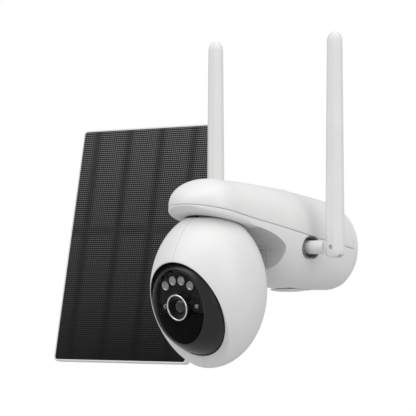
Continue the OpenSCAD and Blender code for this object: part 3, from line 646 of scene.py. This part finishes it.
def make_skirt(white):
    """The round end's lower half: a thick lip under the seam, hollowed to clear the head."""
    stops = [85.5] + even(90, PAN_OUT, 3.0) + nose_stops()
    rows = []
    for s in stops:
        slim = 0.35 if s < 90 else 0.0
        w = max(0.8, half_w(s) - slim)
        h = SKIRT_H * max(nose(s), 0.25)
        edge = min(2.6, h * 0.48, w * 0.5)
        outline = [(w - 3.0 if w > 4 else w * 0.5, SEAM_GAP)]
        outline += lip_arc(w, SEAM_GAP, 0.7 if h > 2 else h * 0.2, up=True)
        outline += lip_arc(w, h, edge, up=False)
        outline += [(w * t, h) for t in (0.8, 0.6, 0.4, 0.2) if w * t < w - edge]
        rows.append((s, outline))
    count = max(len(outline) for _, outline in rows)
    grid = []
    for s, outline in rows:
        outline += [outline[-1]] * (count - len(outline))
        ring = outline + [(0.0, outline[-1][1])] + [(-x, z) for x, z in reversed(outline)]
        grid.append([(x, -s, seam(s) - z) for x, z in ring])
    skirt = finish_piece("skirt_skin", solid(grid), white, "camera_base", ["lower_housing"])
    return carve(skirt, head_room(), upright(0, -PAN_OUT, 5, 60, HUB_R))


def lip_arc(w, z, r, up, steps=5):
    """Rounded corner at half width w: leaving the seam when up, or turning in under the lip."""
    start, side = (-90, 1) if up else (0, -1)
    return [(w - r + x, z + side * r + y) for x, y in arc(r, r, start, start + 90, steps)]


# ---------------------------------------------------------------- head
def soft_min(a, b, k):
    """The smaller of two lengths, blended over about k, which rounds the edge where two surfaces meet."""
    low, high = min(a, b), max(a, b)
    return low - k * math.log(1 + math.exp(-(high - low) / k))


def ray(beta, phi):
    """A direction beta away from local outward, turned phi round it: local x right, y up, z outwards."""
    return Vector((math.sin(beta) * math.cos(phi), math.sin(beta) * math.sin(phi), math.cos(beta)))


def ellipsoid_reach(direction, radii):
    return 1 / math.sqrt(sum((c / r) ** 2 for c, r in zip(direction, radii)))


def egg_reach(direction):
    return ellipsoid_reach(direction, (HEAD_R, HEAD_R, HEAD_H))


def mouth_reach(phi, grow=0.0):
    """Distance from the foot of the face to the mouth's edge, along phi in the face."""
    a, b = MOUTH_W / 2 + grow, MOUTH_H / 2 + grow
    c, s = math.cos(phi), math.sin(phi)
    qa = (c / a) ** 2 + (s / b) ** 2
    qb = 2 * s * MOUTH_LOW / b ** 2
    qc = (MOUTH_LOW / b) ** 2 - 1
    return (-qb + math.sqrt(qb * qb - 4 * qa * qc)) / (2 * qa)


def head_matrix():
    return facing((0, -PAN_OUT, HEAD_Z), FACE_DROP)


def head_angles(side):
    """Angles round the face for one half, closer together at the parting line."""
    fine = [0.0, 0.35, 0.9, 1.8, 3.2]
    angles = fine + [5 + 3.4 * k for k in range(50)] + [180 - a for a in reversed(fine)]
    start = -90 if side > 0 else 90
    return [math.radians(start + a) for a in angles]


def parting_dip(phi):
    """Depth of the parting groove at this angle: a rounded V at the middle plane."""
    off = abs(math.cos(phi))
    return 0.34 * math.exp(-(off / 0.009) ** 2)


def make_head_half(side, name, replaces, white):
    place = head_matrix()
    turn_out = place.to_3x3()
    rows = []
    for phi in head_angles(side):
        row = []
        crease = solve_crease(phi, turn_out)
        betas = [math.pi * (1 - k / 60) for k in range(60)]
        betas = [b for b in betas if b > crease + 0.12]
        near = [crease + 0.12 * (1 - k / 14) for k in range(1, 15)]
        mouth_b = math.atan2(mouth_reach(phi, MOUTH_ROUND), FACE_D)
        rim = [crease + (mouth_b - crease) * k / 10 for k in range(1, 11)]
        for beta in [math.pi * (1 - 1e-4)] + betas[1:] + near + rim:
            d = ray(beta, phi)
            r = egg_reach(turn_out @ d)
            if d.z > 0.05:
                r = soft_min(r, FACE_D / d.z, 0.32)
            r -= parting_dip(phi) * min(1.0, (math.pi - beta) * 12)
            row.append(tuple(d * r))
        lip = arc(MOUTH_ROUND, MOUTH_ROUND, 90, 0, 5)[1:]
        steps = [(mouth_reach(phi) + MOUTH_ROUND - x, 0.25 + MOUTH_ROUND - y) for x, y in lip]
        steps += [(mouth_reach(phi, grow), depth) for grow, depth in ((0.6, 1.4), (1.6, 2.3), (2.2, 4.5))]
        row += [(u * math.cos(phi), u * math.sin(phi), FACE_D - depth) for u, depth in steps]
        rows.append([place @ Vector(p) for p in row])
    top = HEAD_TOP_Z + 0.2
    rows = [[(p.x + side * PARTING_GAP, p.y, min(p.z, top)) for p in row] for row in rows]
    most = max(len(row) for row in rows)
    bm = bmesh.new()
    # Shorter rows are padded at the far pole, where their points are closest together.
    add_grid(bm, [[row[0]] * (most - len(row)) + row for row in rows])
    return finish_piece(name, bm, white, "head", replaces, 60)


def solve_crease(phi, turn_out):
    """The angle at which the face plane meets the egg, found by halving."""
    low, high = 0.2, 1.45
    for _ in range(40):
        mid = (low + high) / 2
        d = ray(mid, phi)
        if FACE_D / d.z < egg_reach(turn_out @ d):
            low = mid
        else:
            high = mid
    return (low + high) / 2


# ---------------------------------------------------------------- camera module
def look_matrix(d=0.0):
    return facing((0, -PAN_OUT, TILT_Z), LOOK_DROP, d)


def module_crease(phi, flat):
    c, s = math.cos(phi), math.sin(phi)
    top = 1 - (flat / MODULE_R) ** 2
    return math.atan(math.sqrt(top / (flat ** 2 * ((s / MODULE_R) ** 2 + (c / MODULE_BULGE) ** 2))))


def make_module_shell(black):
    """The turned front of the module, with its flat oval face and a shallow bed for the windows."""
    place = look_matrix()
    flat = EYE_D - 0.25
    radii = (MODULE_BULGE, MODULE_R, MODULE_R)
    rows = []
    around = 160
    for k in range(around):
        phi = 2 * math.pi * k / around
        crease = module_crease(phi, flat)
        c, s = math.cos(phi), math.sin(phi)
        u_in = 1 / math.hypot(c / (EYE_W / 2 + 0.25), s / (EYE_H / 2 + 0.25))
        u_lip = min(u_in + 0.3, flat * math.tan(crease) + 0.2)
        row = [(u * c, u * s, flat - depth) for u, depth in ((u_in, 1.6), (u_in, 0.35), (u_lip, 0.02))]
        beta0 = max(math.atan2(u_lip + 0.2, flat), crease - 0.02)
        outer = math.radians(78)
        for i in range(48):
            t = i / 47
            beta = beta0 + (outer - beta0) * t ** 1.8
            d = ray(beta, phi)
            r = soft_min(ellipsoid_reach(d, radii), flat / d.z, 0.5)
            p = d * r
            if abs(p.x) > MODULE_HALF_W - 0.1:
                p.x = math.copysign(MODULE_HALF_W - 0.1, p.x)
            room, reach = 29.1 - 1.93 * (abs(p.x) - 31.6), math.hypot(p.y, p.z)
            if reach > room:
                p.y, p.z = p.y * room / reach, p.z * room / reach
            row.append(tuple(p))
        rows.append([tuple(place @ Vector(p)) for p in row])
    bm = bmesh.new()
    add_grid(bm, rows, close_ends=True)
    return finish_piece("module_skin", bm, black, "camera_module", ["module_shell"], 50)


def make_module_back(black):
    """The turned drum behind the face, open at the front where the shell takes over."""
    half, r = MODULE_HALF_W, BACK_BALL_R
    outer = [(math.sqrt(r * r - x * x), x) for x in even(-half + 0.6, half - 0.6, 1.6)]
    profile = [(22.0, -half), (outer[0][0] - 0.6, -half)] + outer
    profile += [(outer[-1][0] - 0.6, half), (22.0, half)]
    inner = [(math.sqrt((r - 2) ** 2 - x * x), x) for x in even(half - 2.4, -half + 2.4, 1.6)]
    profile += [(22.0, half - 2)] + inner + [(22.0, -half + 2)]
    place = look_matrix()
    rows = []
    for k in range(97):
        a = math.radians(70.5 + (360 - 141) * k / 96)
        rows.append([tuple(place @ Vector((x, u * math.sin(a), u * math.cos(a)))) for u, x in profile])
    bm = solid(rows)
    return finish_piece("module_drum", bm, black, "camera_module", ["module_back"], 35)


def window_outline(inset, upper, ring_r):
    """Half of the face oval, above or below the dividing line, with a notch for the lens ring."""
    w, h = EYE_W / 2 - inset, EYE_H / 2 - inset
    line = -SPLIT_DROP + (0.1 if upper else -0.1)
    start = math.degrees(math.asin(line / h))
    cut = math.degrees(math.asin(line / ring_r))
    if upper:
        return arc(w, h, start, 180 - start, 72) + arc(ring_r, ring_r, 180 - cut, cut, 36)
    return arc(w, h, 180 - start, 360 + start, 72) + arc(ring_r, ring_r, cut, -180 - cut, 36)


def make_window(name, upper, material, replaces):
    outline = window_outline(0.0, upper, RING_D / 2 + 0.08)
    bm = placed(slab(outline, -WINDOW_T, 0.0, edge=0.28, both=False), look_matrix(EYE_D))
    return finish_piece(name, bm, material, "camera_module", [replaces], 30)


def on_module(name, profile, material, replaces=(), x=0.0, y=0.0, d=EYE_D, around=72, sharp=35):
    """A turned piece standing on the module's face at (x, y); profile heights count outwards from d."""
    bm = placed(revolve(profile, around), look_matrix(d) @ shift(x, y, 0))
    return finish_piece(name, bm, material, "camera_module", replaces, sharp)


def make_lens(silver, black, glass, iris_mat):
    r, out = RING_D / 2, RING_OUT
    sleeve = [(r - 0.05, -1.4), (r, -1.0), (r, out - 2.4), (r - 0.15, out - 1.7), (r - 0.9, out - 1.5),
              (r - 1.2, out - 1.7), (r - 1.2, -1.4)]
    on_module("lens_sleeve", sleeve, black, ["lens_ring"], sharp=60)
    lip = [(r - 0.2, out - 1.9), (r - 0.2, out - 1.35), (r - 0.4, out - 1.05), (r - 0.8, out - 0.9),
           (r - 1.2, out - 1.0), (r - 1.45, out - 1.3), (r - 1.5, out - 2.0)]
    on_module("lens_ring_turned", lip, silver, ["lens_ring"], sharp=60)
    radius, height = r - 2.0, out - 1.65
    steps = [(r - 1.58, 0.0), (r - 1.6, out - 1.7), (radius, height)]
    for k in range(7):
        height -= 0.42
        steps += [(radius, height), (radius - 0.38, height)]
        radius -= 0.38
    steps += [(radius, height - 1.2), (3.2, height - 1.5), (0.0, height - 1.5)]
    on_module("lens_baffles", steps, black, ["lens_barrel"], sharp=30)
    bulge, rim = 9.0, r - 2.9
    rise = bulge - math.sqrt(bulge * bulge - rim * rim)
    cap = [(rim, out - 4.4 - rise)]
    for k in range(13):
        rad = rim * (1 - k / 12)
        cap.append((rad, out - 2.6 - bulge + math.sqrt(bulge * bulge - rad * rad)))
    on_module("lens_front_glass", cap, glass, ["lens_glass"], sharp=50)
    iris = [(4.6, -2.2), (3.1, -2.5), (2.0, -2.9), (0.0, -3.1)]
    on_module("lens_iris", iris, iris_mat, (), sharp=80)


def make_lamps(reflector, dome_clear, warm, cool):
    """Four lamps in an arc: a cup with a bright reflector, a die and a clear dome."""
    r = LAMP_D / 2
    cup = [(r, -1.9), (r - 0.15, -1.75), (r - 0.5, -2.0), (1.25, -3.9), (0.9, -4.1), (0.0, -4.1)]
    die = [(1.15, -4.0), (1.1, -3.7), (0.7, -3.45), (0.0, -3.35)]
    dome = [(2.35, -3.0), (2.3, -2.55), (1.9, -2.1), (1.3, -1.8), (0.6, -1.68), (0.0, -1.65)]
    for i, angle in enumerate(LAMP_ANGLES):
        a = math.radians(90 - angle)
        x, y = LAMP_ARC_R * math.cos(a), LAMP_ARC_R * math.sin(a)
        on_module(f"lamp_reflector_{i + 1}", cup, reflector, (), x, y, around=48)
        die_mat = warm if i in (0, 3) else cool
        on_module(f"lamp_die_{i + 1}", die, die_mat, (), x, y, around=32)
        replaced = ["lamp_lenses"] if i == 0 else []
        on_module(f"lamp_dome_{i + 1}", dome, dome_clear, replaced, x, y, around=48, sharp=60)


def make_sensors(pale, silver):
    dome = [(1.75, -3.2), (1.75, -2.2), (1.6, -1.9), (1.1, -1.7), (0.5, -1.62), (0.0, -1.6)]
    on_module("motion_sensor_dome", dome, pale, ["motion_sensor"], SENSOR_X, around=40, sharp=60)
    ring = [(1.7, -3.4), (1.7, -2.0), (1.45, -1.75), (1.1, -1.9), (0.9, -2.6), (0.9, -3.4)]
    on_module("light_sensor_ring", ring, silver, ["light_sensor"], -SENSOR_X,
              around=40, sharp=50)


def make_mask(black):
    """Dark mask just behind the clear window, cut round the lens ring."""
    outline = window_outline(1.4, True, RING_D / 2 - 0.4)
    bm = placed(slab(outline, -4.3, -3.9, edge=0.0), look_matrix(EYE_D))
    return finish_piece("window_mask", bm, black, "camera_module", ["lamp_board"], 30)


# ---------------------------------------------------------------- antennas
def blade_section(w, t, h, chamfer=0.42):
    """Flattened eight-sided section with every edge softened, anticlockwise."""
    corners = [
        (w, t * chamfer), (w * chamfer, t), (-w * chamfer, t), (-w, t * chamfer),
        (-w, -t * chamfer), (-w * chamfer, -t), (w * chamfer, -t), (w, -t * chamfer),
    ]
    points = []
    for a, b, c in zip(corners[-1:] + corners, corners, corners[1:] + corners[:1]):
        points += [(p[0], p[1], h) for p in round_corner((*a, 0), (*b, 0), (*c, 0), 0.30 * w, 5)]
    return points


def make_antenna(side, white):
    name = "left" if side < 0 else "right"
    x0 = side * ANTENNA_SIDE
    tip, foot = ANTENNA_TIP, ANTENNA_W0 / 2
    turns = (8, 16, 25, 35, 45, 55, 64, 72, 79, 85, 89)
    heights = [0, 6] + even(12, ANTENNA_LEN - tip, 12.0)
    heights += [ANTENNA_LEN - tip + tip * math.sin(math.radians(a)) for a in turns]
    rows = []
    for h in heights:
        t = h / ANTENNA_LEN
        over = max(0.0, (h - ANTENNA_LEN + tip) / tip)
        shrink = max(0.03, 1 - over ** 2.4) ** (1 / 2.4)
        w = (ANTENNA_W0 + (ANTENNA_W1 - ANTENNA_W0) * t) / 2 * shrink
        d = (ANTENNA_T0 + (ANTENNA_T1 - ANTENNA_T0) * t) / 2 * shrink
        rows.append(blade_section(w, d, h))
    for k in range(1, 10):
        a = math.radians(90 * k / 9.4)
        w = foot * (1 - math.sin(a) ** 4.5) ** (1 / 3.0)
        d = ANTENNA_T0 / 2 * (0.72 + 0.28 * math.cos(a))
        rows.insert(0, blade_section(max(w, 4.6), d, -foot * math.sin(a)))
    bm = placed(solid(rows), shift(x0, -ANTENNA_OUT, ANTENNA_Z))
    piece = finish_piece(f"antenna_paddle_{name}", bm, white, f"antenna_{name}", [f"antenna_blade_{name}"],
                         60)
    slot_x = sorted((x0 - side * 20, x0 + side * 7.2))
    half = TONGUE_T / 2 + 0.35
    slot = block(*slot_x, -ANTENNA_OUT - half, -ANTENNA_OUT + half, -20, ANTENNA_Z + 7.2)
    hole = placed(upright(0, 0, -10, 10, PIN_HOLE_R, 32), shift(x0, -ANTENNA_OUT, ANTENNA_Z) @ turn_x(90))
    return carve(piece, slot, hole)


def make_elbow(side, white):
    """The swivelling stub: a turned barrel with a rounded shoulder, then the flat tongue in the paddle."""
    name = "left" if side < 0 else "right"
    end = ANTENNA_SIDE - 9.6
    barrel = [(1.6, 25.3), (7.0, 25.3), (7.0, 27.6), (5.35, 27.7), (5.35, end - 1.0), (5.1, end - 0.3),
              (4.6, end), (0.0, end)]
    middle = shift(0, -ANTENNA_OUT, ANTENNA_Z)
    tongue = [(ANTENNA_SIDE + x, y) for x, y in half_round(TONGUE_R)] + [(end - 1.5, 5.2), (end - 1.5, -5.2)]
    flat = slab(tongue, -TONGUE_T / 2, TONGUE_T / 2, edge=0.4)
    bm = merged(placed(revolve(barrel, 64), middle @ turn_y(90)), placed(flat, middle @ turn_x(90)))
    if side < 0:
        bmesh.ops.scale(bm, vec=(-1, 1, 1), verts=bm.verts)
    return finish_piece(f"antenna_elbow_{name}_skin", bm, white, f"antenna_elbow_{name}",
                        [f"antenna_swivel_{name}"], 35)


# ---------------------------------------------------------------- solar panel
def panel_matrix(d):
    return facing((-PANEL_SIDE, -NOD_OUT, NOD_Z), -PANEL_LEAN, d)


def math_node(tree, operation, a, b=None):
    made = node(tree, "ShaderNodeMath", operation=operation)
    for socket, value in zip(made.inputs, (a, b)):
        if value is None:
            continue
        if isinstance(value, (int, float)):
            socket.default_value = value
        else:
            tree.links.new(value, socket)
    return made.outputs[0]


def map_range(tree, value, from_min, from_max, to_min, to_max):
    made = node(tree, "ShaderNodeMapRange")
    limits = {"From Min": from_min, "From Max": from_max, "To Min": to_min, "To Max": to_max}
    for socket, limit in limits.items():
        made.inputs[socket].default_value = limit
    tree.links.new(value, made.inputs["Value"])
    return made.outputs["Result"]


def mix_colour(tree, factor, first, last):
    """A blend by factor from a colour source to a fixed colour."""
    made = node(tree, "ShaderNodeMix", data_type="RGBA")
    tree.links.new(factor, made.inputs["Factor"])
    tree.links.new(first, made.inputs["A"])
    made.inputs["B"].default_value = (*last, 1.0)
    return made.outputs["Result"]


def solar_material():
    """Dark laminate: fine fingers and rows of dots, four wide columns with soft darker bands, a matt film,
    and a painted sheen that lightens the grid towards the top.
    """
    mat, tree, shader = new_material("solar_laminate")

    def calc(operation, a, b=None):
        return math_node(tree, operation, a, b)

    def stripes(coord, count, width, soft=0.3):
        """1 on evenly spaced lines, 0 between them; width is a share of the pitch."""
        away = calc("ABSOLUTE", calc("SUBTRACT", calc("FRACT", calc("MULTIPLY", coord, count)), 0.5))
        return map_range(tree, away, width / 2, width / 2 * (1 + soft), 1.0, 0.0)

    coords = node(tree, "ShaderNodeTexCoord")
    split = node(tree, "ShaderNodeSeparateXYZ")
    tree.links.new(coords.outputs["UV"], split.inputs[0])
    u, v = split.outputs["X"], split.outputs["Y"]
    fingers = stripes(u, 66, 0.34)
    rows = stripes(v, 112, 0.34)
    lines = calc("ADD", calc("MULTIPLY", fingers, 0.10), calc("MULTIPLY", rows, 0.34))
    grid = calc("ADD", lines, calc("MULTIPLY", calc("MULTIPLY", fingers, rows), 0.56))
    # Painted sheen: the grid lines are painted brighter towards the top of the panel, standing in for
    # reflected light.
    painted_sheen = map_range(tree, v, 0.0, 1.0, 0.05, 0.72)
    turn = calc("MULTIPLY", calc("SUBTRACT", calc("ADD", calc("MULTIPLY", u, 4.0), 0.06), 0.5), 2 * math.pi)
    band = calc("POWER", calc("MAXIMUM", calc("COSINE", turn), 0.0), 3.0)
    across = map_range(tree, calc("ABSOLUTE", calc("SUBTRACT", v, 0.56)), 0.012, 0.03, 1.0, 0.0)
    base = ramp(tree, noise(tree, object_coords(tree), 14.0, 4.0), grey(0.004), grey(0.007))
    grid_with_painted_sheen = mix_colour(tree, calc("MULTIPLY", grid, painted_sheen), base, (0.36, 0.36, 0.355))
    darkness = calc("MAXIMUM", calc("MULTIPLY", band, 0.55), calc("MULTIPLY", across, 0.3))
    tone = mix_colour(tree, darkness, grid_with_painted_sheen, (0.006, 0.006, 0.008))
    gloss = ramp(tree, noise(tree, object_coords(tree), 35.0, 5.0), grey(0.30), grey(0.38))
    set_surface(tree, shader, tone, gloss)
    bump(tree, grid, shader, 0.12, 0.00005)
    shader.inputs["Specular IOR Level"].default_value = 0.08
    return mat


def make_solar_face(material):
    w, h = PANEL_W - 2 * PANEL_LIP - 0.1, PANEL_H - 2 * PANEL_LIP - 0.1
    outline = rounded_rect(w, h, 2.5)
    bm = slab(outline, 0.0, 0.9, edge=0.15, steps=2, both=False)
    layer = bm.loops.layers.uv.new("UVMap")
    for face in bm.faces:
        for loop in face.loops:
            loop[layer].uv = (loop.vert.co.x / w + 0.5, loop.vert.co.y / h + 0.5)
    placed(bm, panel_matrix(FRAME_D + PANEL_T - 1.18))
    return finish_piece("solar_face", bm, material, "panel", ["solar_cells"], 30)


def make_panel_frame(white):
    """The thin moulded frame: a rounded tray edge with a narrow front lip that holds the laminate."""
    rows = []
    t, lip = PANEL_T, PANEL_LIP
    profile = [(7.0, 0.0), (0.9, 0.0), (0.3, 0.25), (0.0, 0.8), (0.0, t - 0.9), (0.12, t - 0.45)]
    profile += [(0.4, t - 0.12), (0.8, t), (lip - 0.35, t), (lip - 0.1, t - 0.1), (lip, t - 0.35)]
    profile += [(lip, t - 1.15), (7.0, t - 1.15)]
    for d, z in profile:
        ring = rounded_rect(PANEL_W - 2 * d, PANEL_H - 2 * d, max(4.0 - d * 0.9, 0.8))
        rows.append([(x, y, z) for x, y in ring])
    bm = bmesh.new()
    add_grid(bm, rows, close_rows=True, close_ends=True)
    placed(bm, panel_matrix(FRAME_D))
    return finish_piece("panel_frame_moulded", bm, white, "panel", ["panel_frame"], 50)


def make_panel_back(white):
    """The back shell: a shallow dished sheet with ribs, the raised box and the two ears of the tilt joint."""
    sheet = slab(rounded_rect(PANEL_W - 4, PANEL_H - 4, 5), 5.0, 6.6, edge=0.7)
    box = slab(rounded_rect(78, 66, 8), 0.0, 5.6, edge=1.6, steps=5)
    ribs = [placed(slab(rounded_rect(3.0, 160, 1.4), 3.4, 5.2, edge=0.5), shift(x, 0, 0)) for x in (-54, 54)]
    ribs += [placed(slab(rounded_rect(100, 3.0, 1.4), 3.4, 5.2, edge=0.5), shift(0, y, 0)) for y in (-66, 66)]
    body = placed(merged(sheet, box, *ribs), panel_matrix(PANEL_BACK_D))
    root = -PANEL_BACK_D - 0.6
    upended = Matrix(((0, 0, 1, 0), (1, 0, 0, 0), (0, 1, 0, 0), (0, 0, 0, 1)))
    joint = shift(-PANEL_SIDE, -NOD_OUT, NOD_Z) @ turn_x(-PANEL_LEAN)
    ears = []
    for x in (-EAR_GAP / 2 - EAR_T, EAR_GAP / 2):
        ear = slab(half_round(EAR_R) + [(root, EAR_R), (root, -EAR_R)], 0.0, EAR_T, edge=0.5)
        ears.append(placed(ear, joint @ shift(x, 0, 0) @ upended))
    bm = merged(body, *ears)
    return finish_piece("panel_back_shell", bm, white, "panel", ["panel_back"], 40)


def make_box_lid(grey_mat):
    lid = placed(slab(rounded_rect(59.4, 47.4, 4.7), -0.35, 1.2, edge=0.4), panel_matrix(PANEL_BACK_D))
    return finish_piece("junction_box_lid", lid, grey_mat, "panel", ["panel_box_lid"], 40)


# ---------------------------------------------------------------- camera, light and floor
def make_camera():
    along = Vector((-math.sin(VIEW_AZIMUTH), math.cos(VIEW_AZIMUTH), 0))
    right = Vector((math.cos(VIEW_AZIMUTH), math.sin(VIEW_AZIMUTH), 0))
    eye = Vector((0, -PAN_OUT * MM, EYE_HEIGHT)) - along * VIEW_DISTANCE - right * VIEW_SHIFT
    data = bpy.data.cameras.new("camera")
    data.lens = LENS_MM
    data.sensor_width = SENSOR_MM
    camera = linked("camera", data, eye)
    camera.rotation_euler = (math.radians(90) + VIEW_RISE, 0, VIEW_AZIMUTH)
    data.clip_start = 0.05
    bpy.context.scene.camera = camera


def area_light(name, place, aim, size, power, colour=(1, 1, 1)):
    data = bpy.data.lights.new(name, "AREA")
    data.shape = "RECTANGLE"
    data.size, data.size_y = size
    data.energy = power
    data.color = colour
    lamp = linked(name, data, place)
    lamp.rotation_euler = (Vector(aim) - Vector(place)).to_track_quat("-Z", "Y").to_euler()


def make_light():
    world = bpy.data.worlds.new("studio")
    bpy.context.scene.world = world
    world.use_nodes = True
    tree = world.node_tree
    back = tree.nodes["Background"]
    seen = node(tree, "ShaderNodeBackground")
    for shader, strength in ((back, 0.54), (seen, 1.0)):
        shader.inputs["Color"].default_value = (1.0, 1.0, 1.0, 1.0)
        shader.inputs["Strength"].default_value = strength
    path = node(tree, "ShaderNodeLightPath")
    mix = node(tree, "ShaderNodeMixShader")
    tree.links.new(path.outputs["Is Camera Ray"], mix.inputs[0])
    tree.links.new(back.outputs[0], mix.inputs[1])
    tree.links.new(seen.outputs[0], mix.inputs[2])
    tree.links.new(mix.outputs[0], tree.nodes["World Output"].inputs["Surface"])
    area_light("key", (-0.5, -1.5, 1.3), (0, -0.1, 0), (1.6, 1.6), 13.0)
    area_light("top", (0.5, -0.3, 1.6), (0, -0.1, 0), (1.6, 1.6), 9.5)
    area_light("side", (1.7, -0.4, 0.7), (0, -0.1, 0), (1.0, 1.4), 8.0)
    bpy.context.scene.view_settings.view_transform = "Standard"


def make_floor():
    bm = bmesh.new()
    bmesh.ops.create_grid(bm, x_segments=4, y_segments=4, size=FLOOR_HALF)
    bmesh.ops.translate(bm, vec=(0, 0, FLOOR_Z), verts=bm.verts)
    floor = mesh_object("floor", bm)
    floor.data.materials.append(plastic("floor_paper", grey(0.55), 0.8, 400.0, 0.00002, 0.01))


# ---------------------------------------------------------------- the scene
def paint(names, material):
    """Gives CAD nodes that have no piece of their own a material."""
    for name in names:
        obj = frame["nodes"][name]
        obj.data.materials.clear()
        obj.data.materials.append(material)


for left_over in list(bpy.data.objects):
    bpy.data.objects.remove(left_over)
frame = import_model()
make_camera()
make_light()
make_floor()

white = plastic("white_moulding", (0.80, 0.80, 0.795), 0.38)
grey_mat = plastic("grey_moulding", (0.36, 0.36, 0.38), 0.5)
recess_mat = plastic("recess_moulding", (0.62, 0.62, 0.63), 0.55)
socket_mat = plastic("socket_moulding", (0.17, 0.17, 0.175), 0.5)
soft = rubber("soft_plug", (0.72, 0.72, 0.715))
black_rubber = rubber("gasket_rubber", (0.16, 0.16, 0.16))
black = plastic("black_moulding", (0.008, 0.008, 0.009), 0.3)
gloss = plastic("gloss_black", (0.003, 0.003, 0.004), 0.07, grain=300.0, depth=0.000002, specular=0.05)
mask_mat = plastic("mask_black", (0.006, 0.006, 0.007), 0.4, specular=0.12)
steel = metal("steel", (0.62, 0.62, 0.63), 0.3)
silver = metal("bright_ring", (0.80, 0.80, 0.82), 0.16, (1.0, 1.0, 1.0))
brass = metal("brass", (0.75, 0.56, 0.25), 0.3)
green = board("circuit_board", (0.02, 0.10, 0.045))
wrap = plastic("cell_wrap", (0.06, 0.32, 0.22), 0.3)
clear_pane = clear("clear_pane", (0.92, 0.93, 0.95), 0.02, 1.0, 1.16)
glass = clear("lens_glass", (0.75, 0.62, 0.95), 0.01, 1.0, 1.6)
iris_mat = plastic("iris_coating", (0.16, 0.06, 0.26), 0.1, coat=0.8)
reflector = metal("lamp_reflector", (0.62, 0.60, 0.58), 0.5, (1.0, 1.0, 1.0))
dome_clear = clear("lamp_dome", (0.97, 0.97, 0.96), 0.3, 0.8, 1.3)
warm = plastic("warm_die", (0.95, 0.55, 0.12), 0.4)
cool = plastic("cool_die", (0.75, 0.76, 0.72), 0.4)
pale = plastic("sensor_dome", (0.34, 0.34, 0.33), 0.25)

make_top_cover(white)
make_plugs(soft)
make_lower_housing(white)
make_arch_webs(white)
make_lining(recess_mat)
make_flap(white)
make_skirt(white)
make_head_half(-1, "head_skin_left", ["head_shell_left"], white)
make_head_half(1, "head_skin_right", ["head_shell_right"], white)
make_module_shell(black)
make_module_back(black)
make_window("window_clear", True, clear_pane, "lamp_window")
make_window("window_infrared", False, gloss, "infrared_window")
make_mask(mask_mat)
make_lens(silver, black, glass, iris_mat)
make_lamps(reflector, dome_clear, warm, cool)
make_sensors(pale, silver)
for side in (-1, 1):
    make_antenna(side, white)
    make_elbow(side, white)
make_solar_face(solar_material())
make_panel_frame(white)
make_panel_back(white)
make_box_lid(grey_mat)

paint(["wall_plate", "panel_arm"], white)
paint(["antenna_socket_left", "antenna_socket_right"], socket_mat)
paint(["pan_hub", "swing_block", "clamp_knob"], grey_mat)
paint(["cover_gasket"], black_rubber)
paint(["cover_inserts"], brass)
paint(["cover_screws", "modem_board", "sim_slot", "port_cover_pin", "pan_motor", "antenna_pin_left"], steel)
paint(["antenna_pin_right", "head_screws", "tilt_axle", "tilt_motor", "swing_pin", "nod_pin"], steel)
paint(["panel_screws", "charging_socket"], steel)
paint(["battery_cells"], wrap)
paint(["battery_holder", "speaker", "reset_button"], black)
paint(["main_board", "port_board", "image_board"], green)
